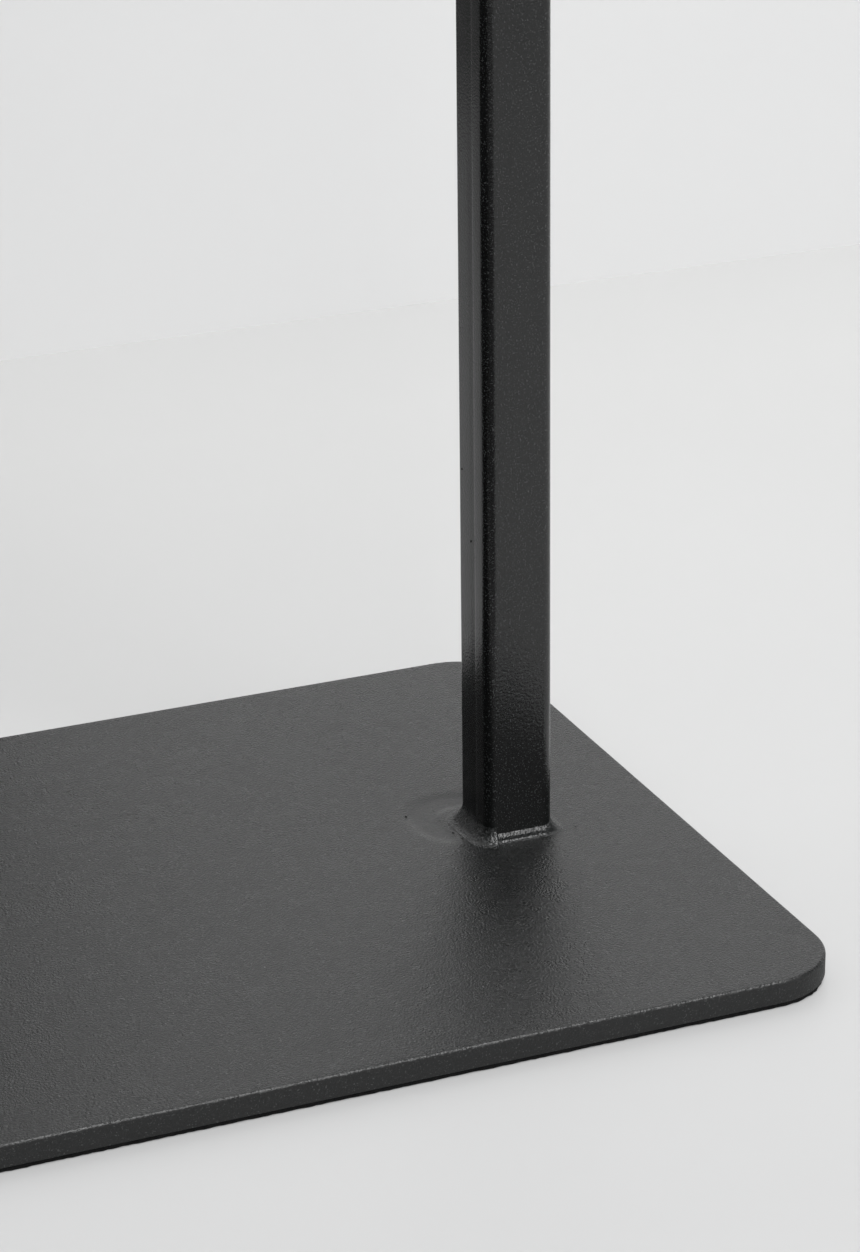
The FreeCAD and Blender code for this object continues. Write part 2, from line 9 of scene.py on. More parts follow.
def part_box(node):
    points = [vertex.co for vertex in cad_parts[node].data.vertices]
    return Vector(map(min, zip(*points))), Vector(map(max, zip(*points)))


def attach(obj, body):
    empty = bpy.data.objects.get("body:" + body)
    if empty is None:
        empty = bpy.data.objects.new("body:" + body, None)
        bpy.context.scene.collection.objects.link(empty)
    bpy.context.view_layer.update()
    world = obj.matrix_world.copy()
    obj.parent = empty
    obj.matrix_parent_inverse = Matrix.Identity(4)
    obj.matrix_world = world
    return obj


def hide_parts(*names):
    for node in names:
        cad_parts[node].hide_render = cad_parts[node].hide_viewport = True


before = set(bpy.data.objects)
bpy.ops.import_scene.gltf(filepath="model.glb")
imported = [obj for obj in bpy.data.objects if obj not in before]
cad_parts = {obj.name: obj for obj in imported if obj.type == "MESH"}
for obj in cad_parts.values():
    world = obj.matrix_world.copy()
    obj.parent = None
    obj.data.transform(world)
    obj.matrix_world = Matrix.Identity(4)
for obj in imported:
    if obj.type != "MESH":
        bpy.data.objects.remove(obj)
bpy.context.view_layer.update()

bl_info = {
    "name": "Valet Stand",
    "version": (1, 0, 0),
    "blender": (4, 5, 0),
    "location": "3D View > Sidebar > Valet Stand",
    "description": "Builds a steel valet stand piece by piece on its engineering frame",
    "category": "Object",
}

TAU = 2 * math.pi


def box_of(node):
    """The lowest and highest corner of a frame node, as vectors."""
    low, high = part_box(node)
    return Vector(low), Vector(high)


PLATE_LOW, PLATE_HIGH = box_of("base_plate")
FELT_LOW, FELT_HIGH = box_of("base_felt")
POST_LOW, POST_HIGH = box_of("right_post")
RAIL_LOW, RAIL_HIGH = box_of("top_rail")
WELD_LOW, WELD_HIGH = box_of("right_foot_weld")
HANGER_HIGH = box_of("hanger")[1]
TRAY_LOW, TRAY_HIGH = box_of("tray")
MAT_LOW, MAT_HIGH = box_of("tray_mat")
BAR_LOW, BAR_HIGH = box_of("trouser_bar")
SLEEVE_LOW = box_of("trouser_bar_sleeves")[0]
PEG_LOW, PEG_HIGH = box_of("right_pegs")

TUBE = POST_HIGH.x - POST_LOW.x
POST_X = (POST_LOW.x + POST_HIGH.x) / 2
INNER_FACE = POST_LOW.x
OUTER_FACE = POST_HIGH.x
BAR_Z = (BAR_LOW.z + BAR_HIGH.z) / 2


# ---------------------------------------------------------------- sizes and colours


class ValetSizes(bpy.types.PropertyGroup):
    """Sizes of the finish and the small shapes that the frame leaves open."""

    plate_corner: FloatProperty(
        name="Plate corner", description="Radius of the base plate's corners",
        default=0.026, unit="LENGTH",
    )
    plate_arris: FloatProperty(
        name="Plate arris", description="Rounding of the base plate's top edge",
        default=0.0012, unit="LENGTH",
    )
    ground_depth: FloatProperty(
        name="Ground depth", description="Depth of the shallow dish ground beside each foot weld",
        default=0.00045, unit="LENGTH",
    )
    tube_corner: FloatProperty(
        name="Tube corner", description="Outer radius of the square tube's corners",
        default=0.004, unit="LENGTH",
    )
    seam_depth: FloatProperty(
        name="Seam depth", description="Depth of the groove along the tube's rolled seam",
        default=0.00012, unit="LENGTH",
    )
    bar_edge: FloatProperty(
        name="Bar edge", description="Bevel on the trouser bar's cut ends",
        default=0.0005, unit="LENGTH",
    )
    weld_ripple: FloatProperty(
        name="Weld ripple", description="Height of the ripples along a weld bead",
        default=0.00006, unit="LENGTH",
    )
    felt_fray: FloatProperty(
        name="Felt fray", description="How far the felt's cut edge wanders",
        default=0.0009, unit="LENGTH",
    )
    rib_pitch: FloatProperty(
        name="Rib pitch", description="Spacing of the ribs on the trouser bar's sleeves",
        default=0.003, unit="LENGTH",
    )
    stitch_pitch: FloatProperty(
        name="Stitch pitch", description="Spacing of the stitches round the tray mat",
        default=0.0042, unit="LENGTH",
    )
    floor_reach: FloatProperty(
        name="Floor reach", description="Half the side of the studio floor",
        default=14.0, unit="LENGTH",
    )
    wall_distance: FloatProperty(
        name="Wall distance", description="From the middle of the base to the studio wall",
        default=0.599, unit="LENGTH",
    )
    ring_steps: IntProperty(
        name="Ring steps", description="Faces round a turned piece",
        default=48, min=12,
    )


class ValetColours(bpy.types.PropertyGroup):
    """Colours of the finishes."""

    # Bright specks painted into the coat's colour: painted glints, a painted highlight.
    fleck: FloatVectorProperty(
        name="Fleck", description="Bright flecks in the powder coat",
        default=(0.048, 0.050, 0.050), subtype="COLOR", size=3, min=0, max=1,
    )
    coat: FloatVectorProperty(
        name="Coat", description="Powder coat on the steel",
        default=(0.0048, 0.0052, 0.0051), subtype="COLOR", size=3, min=0, max=1,
    )
    felt: FloatVectorProperty(
        name="Felt", description="Felt under the base",
        default=(0.0035, 0.0035, 0.0035), subtype="COLOR", size=3, min=0, max=1,
    )
    walnut_dark: FloatVectorProperty(
        name="Walnut dark", description="Dark streaks of the hanger's wood",
        default=(0.028, 0.013, 0.007), subtype="COLOR", size=3, min=0, max=1,
    )
    walnut_light: FloatVectorProperty(
        name="Walnut light", description="Light streaks of the hanger's wood",
        default=(0.11, 0.052, 0.026), subtype="COLOR", size=3, min=0, max=1,
    )
    leather: FloatVectorProperty(
        name="Leather", description="Leather of the tray mat",
        default=(0.055, 0.027, 0.016), subtype="COLOR", size=3, min=0, max=1,
    )
    thread: FloatVectorProperty(
        name="Thread", description="Thread of the tray mat's stitches",
        default=(0.30, 0.22, 0.14), subtype="COLOR", size=3, min=0, max=1,
    )
    rubber: FloatVectorProperty(
        name="Rubber", description="Rubber of the sleeves and pads",
        default=(0.020, 0.020, 0.021), subtype="COLOR", size=3, min=0, max=1,
    )
    zinc: FloatVectorProperty(
        name="Zinc", description="Plating of the nuts and inserts",
        default=(0.62, 0.62, 0.60), subtype="COLOR", size=3, min=0, max=1,
    )
    oxide: FloatVectorProperty(
        name="Oxide", description="Dark finish of the screws",
        default=(0.035, 0.034, 0.034), subtype="COLOR", size=3, min=0, max=1,
    )
    # The floor's two colours paint it lighter towards the wall, standing in for light: painted
    # light.
    floor: FloatVectorProperty(
        name="Floor", description="Floor of the studio in front of the stand",
        default=(0.55, 0.55, 0.55), subtype="COLOR", size=3, min=0, max=1,
    )
    back_floor: FloatVectorProperty(
        name="Back floor", description="Floor of the studio towards the wall",
        default=(0.665, 0.665, 0.660), subtype="COLOR", size=3, min=0, max=1,
    )
    wall: FloatVectorProperty(
        name="Wall", description="Wall of the studio",
        default=(0.785, 0.785, 0.785), subtype="COLOR", size=3, min=0, max=1,
    )


def sizes():
    return bpy.context.scene.valet_sizes


def colours():
    return bpy.context.scene.valet_colours


# ---------------------------------------------------------------- shader node helpers


class Tree:
    """Short calls for adding and wiring nodes in one node tree."""

    def __init__(self, tree):
        self.tree = tree

    def add(self, kind, **settings):
        """A new node. A setting named in_X sets its input X, and any other sets a property."""
        node = self.tree.nodes.new(kind)
        for key, value in settings.items():
            if key.startswith("in_"):
                node.inputs[key[3:]].default_value = value
            else:
                setattr(node, key, value)
        return node

    def link(self, source, target):
        self.tree.links.new(source, target)

    def noise(self, coords, scale, detail=2.0, roughness=0.5):
        node = self.add("ShaderNodeTexNoise", in_Scale=scale, in_Detail=detail)
        node.inputs["Roughness"].default_value = roughness
        self.link(coords, node.inputs["Vector"])
        return node.outputs["Fac"]

    def cells(self, coords, scale, feature):
        node = self.add("ShaderNodeTexVoronoi", in_Scale=scale, feature=feature)
        self.link(coords, node.inputs["Vector"])
        return node.outputs["Distance"]

    def coords(self):
        return self.add("ShaderNodeTexCoord").outputs["Object"]

    def feed(self, value, socket):
        """Sets a socket to a number, or links a value to it."""
        if isinstance(value, (int, float)):
            socket.default_value = value
        else:
            self.link(value, socket)

    def maths(self, operation, a, b, clamp=False):
        node = self.add("ShaderNodeMath", operation=operation, use_clamp=clamp)
        self.feed(a, node.inputs[0])
        self.feed(b, node.inputs[1])
        return node.outputs[0]

    def spread(self, value, low, high, to_low=0.0, to_high=1.0):
        """Maps low to to_low and high to to_high, and holds the ends."""
        node = self.add("ShaderNodeMapRange", clamp=True)
        for name, given in (("Value", value), ("From Min", low), ("From Max", high),
                            ("To Min", to_low), ("To Max", to_high)):
            self.feed(given, node.inputs[name])
        return node.outputs["Result"]

    def scaled(self, vector, amount):
        node = self.add("ShaderNodeVectorMath", operation="SCALE")
        self.link(vector, node.inputs[0])
        self.feed(amount, node.inputs["Scale"])
        return node.outputs[0]

    def warped(self, coords, scale, amount):
        """Coordinates pushed about by noise."""
        push = self.add("ShaderNodeTexNoise", in_Scale=scale, in_Detail=3.0)
        self.link(coords, push.inputs["Vector"])
        moved = self.add("ShaderNodeVectorMath", operation="ADD")
        self.link(coords, moved.inputs[0])
        self.link(self.scaled(push.outputs["Color"], amount), moved.inputs[1])
        return moved.outputs[0]

    def stretched(self, coords, scale):
        node = self.add("ShaderNodeMapping")
        node.inputs["Scale"].default_value = scale
        self.link(coords, node.inputs["Vector"])
        return node.outputs[0]

    def mix(self, mask, a, b):
        """Colour a where the mask is 0, and b where it is 1. Each is a tuple or a socket."""
        node = self.add("ShaderNodeMix", data_type="RGBA")
        self.link(mask, node.inputs["Factor"])
        for socket, value in ((node.inputs[6], a), (node.inputs[7], b)):
            if isinstance(value, tuple):
                socket.default_value = (*value, 1.0)
            else:
                self.link(value, socket)
        return node.outputs[2]


def node_of(tree, kind):
    return next(n for n in tree.nodes if n.type == kind)


def shades(colour, *shares):
    """A colour times each share, as tuples."""
    return [tuple(Vector(colour) * share) for share in shares]


def effect(name, inputs, outputs, build):
    """A shader node group with named inputs and outputs, built once."""
    if name in bpy.data.node_groups:
        return bpy.data.node_groups[name]
    group = bpy.data.node_groups.new(name, "ShaderNodeTree")
    for label, default in inputs:
        socket = group.interface.new_socket(label, in_out="INPUT", socket_type="NodeSocketFloat")
        socket.default_value = default
    for label in outputs:
        group.interface.new_socket(label, in_out="OUTPUT", socket_type="NodeSocketFloat")
    tree = Tree(group)
    start, end = tree.add("NodeGroupInput"), tree.add("NodeGroupOutput")
    build(tree, start.outputs, end.inputs)
    return group


def build_coat_grain(tree, given, result):
    """Fine pebbled skin of a powder coat, the mask of its bright specks that are painted glints,
    and its slow change of tone.
    """
    place_on_skin = tree.scaled(tree.coords(), given["Grain"])
    tree.link(tree.noise(place_on_skin, 1000.0, 1.0, 0.6), result["Height"])
    # Sparse spots that get a brighter colour: painted glints.
    spots = tree.noise(place_on_skin, 1400.0, 1.0, 0.5)
    limit = tree.maths("SUBTRACT", 1.0, given["Flecks"])
    tree.link(tree.spread(spots, limit, tree.maths("ADD", limit, 0.08)), result["Fleck"])
    tree.link(tree.spread(tree.noise(place_on_skin, 16.0, 4.0), 0.3, 0.7), result["Tone"])


def coat_grain():
    return effect("Coat grain", (("Grain", 1.0), ("Flecks", 0.33)), ("Height", "Fleck", "Tone"),
                  build_coat_grain)


def build_smudge(tree, given, result):
    """Faint handling marks that change how a surface shines."""
    coords = tree.coords()
    wide = tree.noise(coords, 22.0, 5.0, 0.62)
    narrow = tree.noise(coords, 140.0, 3.0, 0.6)
    both = tree.maths("MULTIPLY", wide, narrow)
    mark = tree.spread(both, 0.16, 0.40)
    tree.link(tree.maths("MULTIPLY", mark, given["Amount"]), result["Mark"])


def smudge():
    return effect("Smudge", (("Amount", 1.0),), ("Mark",), build_smudge)


def build_fibre(tree, given, result):
    """Matted fibres, for felt and thread."""
    coords = tree.coords()
    strands = tree.noise(tree.warped(coords, 900.0, 0.004), 1900.0, 4.0, 0.7)
    tree.link(tree.maths("MULTIPLY", strands, given["Strength"]), result["Height"])
    tree.link(tree.spread(strands, 0.42, 0.66), result["Strand"])


def fibre():
    return effect("Fibre", (("Strength", 1.0),), ("Height", "Strand"), build_fibre)


def placed(tree, group, **values):
    """The outputs of a group node in a material, with its inputs set."""
    node = tree.add("ShaderNodeGroup", node_tree=group)
    for key, value in values.items():
        node.inputs[key].default_value = value
    return node.outputs


def shader(name):
    """A new material with its Principled BSDF, as (material, tree, BSDF's inputs)."""
    material = bpy.data.materials.new(name)
    material.use_nodes = True
    tree = Tree(material.node_tree)
    return material, tree, node_of(material.node_tree, "BSDF_PRINCIPLED").inputs


def bump(tree, height, distance, strength, target):
    """Adds a bump to a shader's normal."""
    node = tree.add("ShaderNodeBump")
    node.inputs["Strength"].default_value = strength
    node.inputs["Distance"].default_value = distance
    tree.link(height, node.inputs["Height"])
    tree.link(node.outputs["Normal"], target)


def once(make):
    """Builds a material on first use, then hands out the same one."""

    def get():
        label = make.__name__
        if label not in bpy.data.materials:
            make().name = label
        return bpy.data.materials[label]

    return get


def coated(grain, glints, rough, depth, gloss, side_rough=None):
    """Powder-coated steel. side_rough is the roughness of upright faces, where it differs."""
    material, tree, bsdf = shader("coat")
    skin = placed(tree, coat_grain(), Grain=grain, Flecks=glints)
    tone = tree.mix(skin["Tone"], *shades(colours().coat, 0.88, 1.12))
    # Bright specks in the base colour are painted glints: painted highlights.
    tree.link(tree.mix(skin["Fleck"], tone, tuple(colours().fleck)), bsdf["Base Color"])
    worn = placed(tree, smudge(), Amount=0.05)["Mark"]
    # The same specks are also made a little glossier.
    glint = tree.maths("MULTIPLY", skin["Fleck"], -0.14)
    base_rough = rough
    if side_rough:
        way = tree.add("ShaderNodeSeparateXYZ")
        tree.link(tree.add("ShaderNodeNewGeometry").outputs["True Normal"], way.inputs[0])
        base_rough = tree.spread(way.outputs["Z"], 0.3, 0.8, side_rough, rough)
    total = tree.maths("ADD", tree.maths("ADD", worn, glint), base_rough, clamp=True)
    tree.link(total, bsdf["Roughness"])
    bsdf["Specular IOR Level"].default_value = gloss
    ground = tree.add("ShaderNodeAttribute", attribute_name="ground").outputs["Fac"]
    grain_left = tree.maths("SUBTRACT", 1.0, tree.maths("MULTIPLY", ground, 0.7))
    bump(tree, tree.maths("MULTIPLY", skin["Height"], grain_left), depth, 0.8, bsdf["Normal"])
    return material


@once
def plate_coat():
    return coated(grain=1.25, glints=0.36, rough=0.26, depth=0.00040, gloss=0.55, side_rough=0.62)


@once
def tube_coat():
    return coated(grain=1.25, glints=0.38, rough=0.20, depth=0.00011, gloss=0.60)


@once
def weld_coat():
    return coated(grain=1.15, glints=0.45, rough=0.26, depth=0.00042, gloss=0.55)


@once
def pressed_coat():
    return coated(grain=1.2, glints=0.34, rough=0.32, depth=0.00020, gloss=0.50)


@once
def black_felt():
    material, tree, bsdf = shader("felt")
    hairs = placed(tree, fibre(), Strength=1.0)
    tree.link(tree.mix(hairs["Strand"], *shades(colours().felt, 0.5, 2.6)), bsdf["Base Color"])
    bsdf["Roughness"].default_value = 0.95
    bsdf["Specular IOR Level"].default_value = 0.12
    bsdf["Sheen Weight"].default_value = 0.04
    bump(tree, hairs["Height"], 0.0012, 1.0, bsdf["Normal"])
    return material


@once
def dark_walnut():
    """Long streaks along X, bent by slow noise, with short dark pores."""
    material, tree, bsdf = shader("walnut")
    coords = tree.coords()
    along = tree.stretched(coords, (0.55, 7.0, 7.0))
    rings = tree.add("ShaderNodeTexWave", in_Scale=5.5, in_Distortion=3.0, in_Detail=3.0,
                     bands_direction="Z")
    tree.link(tree.warped(along, 3.0, 0.35), rings.inputs["Vector"])
    pore_place = tree.stretched(coords, (70.0, 1400.0, 1400.0))
    pores = tree.spread(tree.noise(pore_place, 1.0, 2.0), 0.56, 0.66)
    warm, faded = shades(colours().walnut_light, 1.0, 0.62)
    dark, deep = shades(colours().walnut_dark, 1.0, 0.45)
    streaks = tree.mix(tree.spread(rings.outputs["Fac"], 0.15, 0.9), dark, warm)
    slow = tree.spread(tree.noise(along, 1.6, 2.0), 0.35, 0.7)
    tree.link(tree.mix(pores, tree.mix(slow, streaks, faded), deep), bsdf["Base Color"])
    dull = placed(tree, smudge(), Amount=0.10)["Mark"]
    pore_rough = tree.maths("ADD", tree.maths("MULTIPLY", pores, 0.2), 0.34)
    tree.link(tree.maths("ADD", dull, pore_rough), bsdf["Roughness"])
    relief = tree.maths("SUBTRACT", tree.maths("MULTIPLY", rings.outputs["Fac"], 0.25), pores)
    bump(tree, relief, 0.00008, 0.6, bsdf["Normal"])
    bsdf["Coat Weight"].default_value = 0.12
    bsdf["Coat Roughness"].default_value = 0.22
    return material


@once
def brown_leather():
    material, tree, bsdf = shader("leather")
    coords = tree.coords()
    pebbles = tree.cells(coords, 620.0, "DISTANCE_TO_EDGE")
    crease = tree.spread(pebbles, 0.0, 0.14)
    fine = tree.noise(coords, 2400.0, 2.0)
    tone = tree.spread(tree.noise(coords, 30.0, 4.0), 0.3, 0.72)
    # deep is painted shade for the creases; dark to light is a random change of tone.
    deep, dark, light = shades(colours().leather, 0.4, 0.75, 1.3)
    # The creases between pebbles are painted darker: painted shade.
    tree.link(tree.mix(crease, deep, tree.mix(tone, dark, light)), bsdf["Base Color"])
    polish = placed(tree, smudge(), Amount=-0.12)["Mark"]
    tree.link(tree.maths("ADD", polish, tree.spread(crease, 0.0, 1.0, 0.66, 0.5)),
              bsdf["Roughness"])
    height = tree.maths("ADD", crease, tree.maths("MULTIPLY", fine, 0.25))
    bump(tree, height, 0.00025, 0.7, bsdf["Normal"])
    return material


@once
def waxed_thread():
    material, tree, bsdf = shader("thread")
    hairs = placed(tree, fibre(), Strength=0.6)
    tree.link(tree.mix(hairs["Strand"], *shades(colours().thread, 0.55, 1.2)), bsdf["Base Color"])
    bsdf["Roughness"].default_value = 0.7
    bump(tree, hairs["Height"], 0.0002, 0.8, bsdf["Normal"])
    return material


def moulded(colour, rough, tone_range, depth):
    """Matt rubber or plastic with a fine moulded texture."""
    material, tree, bsdf = shader("moulded")
    coords = tree.coords()
    tone = tree.spread(tree.noise(coords, 60.0, 3.0), 0.3, 0.7)
    tree.link(tree.mix(tone, *shades(colour, 1 - tone_range, 1 + tone_range)), bsdf["Base Color"])
    polish = placed(tree, smudge(), Amount=-0.10)["Mark"]
    tree.link(tree.maths("ADD", polish, rough), bsdf["Roughness"])
    bump(tree, tree.noise(coords, 2600.0, 2.0), depth, 0.5, bsdf["Normal"])
    return material


@once
def matt_rubber():
    return moulded(colours().rubber, 0.72, 0.2, 0.00010)


@once
def black_nylon():
    return moulded(Vector(colours().rubber) * 1.6, 0.48, 0.1, 0.00004)


def plated(colour, metal, rough, streak):
    """Turned metal whose tool marks run round each piece."""
    material, tree, bsdf = shader("plated")
    coords = tree.coords()
    lines = tree.noise(coords, streak, 4.0, 0.7)
    stain = tree.spread(tree.noise(coords, 300.0, 3.0), 0.35, 0.7)
    tree.link(tree.mix(stain, *shades(colour, 0.8, 1.1)), bsdf["Base Color"])
    bsdf["Metallic"].default_value = metal
    tree.link(tree.spread(lines, 0.3, 0.7, rough - 0.08, rough + 0.12), bsdf["Roughness"])
    bump(tree, lines, 0.00002, 0.6, bsdf["Normal"])
    return material


@once
def zinc_plate():
    return plated(colours().zinc, 1.0, 0.32, 1800.0)


@once
def black_oxide():
    return plated(colours().oxide, 0.75, 0.38, 2400.0)


def studio_surface(near, far):
    """Matt card, only there from its front; its colour runs from near to far along Y. On the floor
    this paints it lighter towards the wall: painted light.
    """
    material, tree, bsdf = shader("studio")
    coords = tree.coords()
    along = tree.add("ShaderNodeSeparateXYZ")
    tree.link(coords, along.inputs[0])
    # Colour from near to far along Y; on the floor this is painted light that brightens it towards
    # the wall.
    base = tree.mix(tree.spread(along.outputs["Y"], -0.25, 0.45), tuple(near), tuple(far))
    tone = tree.spread(tree.noise(coords, 3.0, 3.0), 0.35, 0.7, 0.985, 1.0)
    tree.link(tree.scaled(base, tone), bsdf["Base Color"])
    bsdf["Roughness"].default_value = 0.45
    bsdf["Specular IOR Level"].default_value = 0.4
    clear = tree.add("ShaderNodeBsdfTransparent")
    join = tree.add("ShaderNodeMixShader")
    facing = tree.add("ShaderNodeNewGeometry")
    front = node_of(material.node_tree, "BSDF_PRINCIPLED")
    for i, value in enumerate((facing.outputs["Backfacing"], front.outputs[0], clear.outputs[0])):
        tree.link(value, join.inputs[i])
    output = node_of(material.node_tree, "OUTPUT_MATERIAL")
    tree.link(join.outputs[0], output.inputs["Surface"])
    return material


# ---------------------------------------------------------------- mesh helpers


def new_object(name, mesh, material=None):
    """An object for a mesh, linked to the scene."""
    obj = bpy.data.objects.new(name, mesh)
    bpy.context.scene.collection.objects.link(obj)
    if material:
        mesh.materials.clear()
        mesh.materials.append(material)
    return obj


def mesh_from(name, points, faces, smooth=True):
    """A mesh from points and faces."""
    mesh = bpy.data.meshes.new(name)
    mesh.from_pydata([tuple(p) for p in points], [], faces)
    mesh.validate()
    if smooth:
        mesh.shade_smooth()
    else:
        mesh.shade_flat()
    return mesh


def solid(name, *parts, sharp=None):
    """A smooth mesh of closed parts, faces outwards, with edges over an angle left sharp."""
    mesh = mesh_from(name, *joined(*parts))
    outward(mesh)
    if sharp:
        mesh.set_sharp_from_angle(angle=math.radians(sharp))
    return mesh


def outward(mesh):
    """Merges doubles and turns every face outwards."""
    bm = bmesh.new()
    bm.from_mesh(mesh)
    bmesh.ops.remove_doubles(bm, verts=bm.verts, dist=1e-7)
    bmesh.ops.recalc_face_normals(bm, faces=bm.faces)
    bm.to_mesh(mesh)
    bm.free()


def lofted(rings, close_ends=True):
    """Points and faces through rings that have the same number of points."""
    points, faces = [], []
    count = len(rings[0])
    for ring in rings:
        points.extend(ring)
    for r in range(len(rings) - 1):
        for i in range(count):
            j = (i + 1) % count
            a, b = r * count, (r + 1) * count
            faces.append((a + i, a + j, b + j, b + i))
    if close_ends:
        faces.append(tuple(reversed(range(count))))
        last = (len(rings) - 1) * count
        faces.append(tuple(range(last, last + count)))
    return points, faces


def turned(profile, start, direction, steps):
    """A turned piece from (radius, distance along) pairs. A radius of 0 closes an end."""
    axis = Vector(direction).normalized()
    side = axis.orthogonal().normalized()
    other = axis.cross(side)
    points, faces, previous = [], [], None
    for radius, along in profile:
        centre = Vector(start) + axis * along
        if radius <= 0:
            ring = [len(points)]
            points.append(centre)
        else:
            ring = list(range(len(points), len(points) + steps))
            for i in range(steps):
                a = TAU * i / steps
                points.append(centre + (side * math.cos(a) + other * math.sin(a)) * radius)
        if previous:
            for i in range(steps):
                j = (i + 1) % steps
                quad = [
                    previous[i % len(previous)], previous[j % len(previous)],
                    ring[j % len(ring)], ring[i % len(ring)],
                ]
                face = tuple(dict.fromkeys(quad))
                if len(face) > 2:
                    faces.append(face)
        previous = ring
    return points, faces


def joined(*parts):
    """Several (points, faces) pairs as one."""
    points, faces = [], []
    for part_points, part_faces in parts:
        base = len(points)
        points.extend(part_points)
        faces.extend(tuple(base + i for i in face) for face in part_faces)
    return points, faces


def rounded_rectangle(width, depth, radius, per_corner):
    """Points and outward directions round a rectangle with round corners, anticlockwise."""
    outline = []
    for cx, cy, turn in ((1, 1, 0), (-1, 1, 90), (-1, -1, 180), (1, -1, 270)):
        centre = Vector((cx * (width / 2 - radius), cy * (depth / 2 - radius)))
        for i in range(per_corner + 1):
            a = math.radians(turn + 90 * i / per_corner)
            way = Vector((math.cos(a), math.sin(a)))
            outline.append((centre + way * radius, way))
    return outline


def densified(outline, spacing):
    """The same outline with extra points along its straight sides."""
    dense = []
    for i, (point, way) in enumerate(outline):
        dense.append((point, way))
        following, next_way = outline[(i + 1) % len(outline)]
        gap = (following - point).length
        if gap > spacing and (next_way - way).length < 1e-6:
            count = int(gap / spacing)
            dense.extend(
                (point.lerp(following, k / (count + 1)), way) for k in range(1, count + 1))
    return dense


def inset_rings(outline, profile):
    """The outline repeated at each (inset, height) of a profile."""
    return [[Vector((p.x - w.x * inset, p.y - w.y * inset, z)) for p, w in outline]
            for inset, z in profile]


def place(obj, body, slot, *nodes):
    """Rides a piece on its body, in place of frame nodes. Its slot is not used."""
    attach(obj, body)
    if nodes:
        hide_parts(*nodes)
    return obj


def finished(node, mesh, material, body, slot):
    """A finished piece in place of one frame node."""
    return place(new_object(node + "_finished", mesh, material), body, slot, node)


def dress(node, material):
    """Gives a frame node a finished material."""
    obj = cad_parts[node]
    obj.data.materials.clear()
    obj.data.materials.append(material)


# ---------------------------------------------------------------- geometry node helpers


def geometry_tree(name, inputs):
    """A geometry node tree with a geometry input and output and named number inputs."""
    group = bpy.data.node_groups.new(name, "GeometryNodeTree")
    group.interface.new_socket("Geometry", in_out="INPUT", socket_type="NodeSocketGeometry")
    group.interface.new_socket("Geometry", in_out="OUTPUT", socket_type="NodeSocketGeometry")
    for label, kind in inputs:
        group.interface.new_socket(label, in_out="INPUT", socket_type=kind)
    tree = Tree(group)
    return group, tree, tree.add("NodeGroupInput"), tree.add("NodeGroupOutput")


def input_key(group, label):
    """The identifier of a tree's named input."""
    for item in group.interface.items_tree:
        if item.item_type == "SOCKET" and item.in_out == "INPUT" and item.name == label:
            return item.identifier
    raise KeyError(label)


def grown(name, base, group, values):
    """Runs a geometry tree on a mesh with its inputs set. The result is a plain object."""
    seed = new_object(name + "_seed", base)
    modifier = seed.modifiers.new("grow", "NODES")
    modifier.node_group = group
    for label, value in values.items():
        modifier[input_key(group, label)] = value
    graph = bpy.context.evaluated_depsgraph_get()
    mesh = bpy.data.meshes.new_from_object(seed.evaluated_get(graph))
    seed.modifiers.remove(modifier)
    bpy.data.objects.remove(seed)
    mesh.shade_smooth()
    mesh.set_sharp_from_angle(angle=math.radians(35))
    return new_object(name, mesh)


def put_copies(tree, start, end, points, shape, turn, scale):
    """Puts copies of a shape on points, gives them the finish and hands them on."""
    copies = tree.add("GeometryNodeInstanceOnPoints")
    for value, name in ((points, "Points"), (shape, "Instance"), (turn, "Rotation"),
                        (scale, "Scale")):
        tree.link(value, copies.inputs[name])
    real = tree.add("GeometryNodeRealizeInstances")
    tree.link(copies.outputs[0], real.inputs[0])
    finish = tree.add("GeometryNodeSetMaterial")
    tree.link(real.outputs[0], finish.inputs["Geometry"])
    tree.link(start.outputs["Finish"], finish.inputs["Material"])
    tree.link(finish.outputs[0], end.inputs[0])


def fastener_tree():
    """Instances of one fastener on points, each turned to the point's direction."""
    if "Fasteners" in bpy.data.node_groups:
        return bpy.data.node_groups["Fasteners"]
    group, tree, start, end = geometry_tree(
        "Fasteners",
        (("Fastener", "NodeSocketObject"), ("Scale", "NodeSocketFloat"),
         ("Finish", "NodeSocketMaterial")),
    )
    info = tree.add("GeometryNodeObjectInfo")
    tree.link(start.outputs["Fastener"], info.inputs["Object"])
    way = tree.add("GeometryNodeInputNamedAttribute", data_type="FLOAT_VECTOR")
    way.inputs["Name"].default_value = "way"
    turn = tree.add("FunctionNodeAlignRotationToVector", axis="Z")
    tree.link(way.outputs["Attribute"], turn.inputs["Vector"])
    points = tree.add("GeometryNodeMeshToPoints")
    tree.link(start.outputs["Geometry"], points.inputs["Mesh"])
    put_copies(tree, start, end, points.outputs[0], info.outputs["Geometry"], turn.outputs[0],
               start.outputs["Scale"])
    return group


STITCH_LEAN = (math.radians(6), math.radians(14))


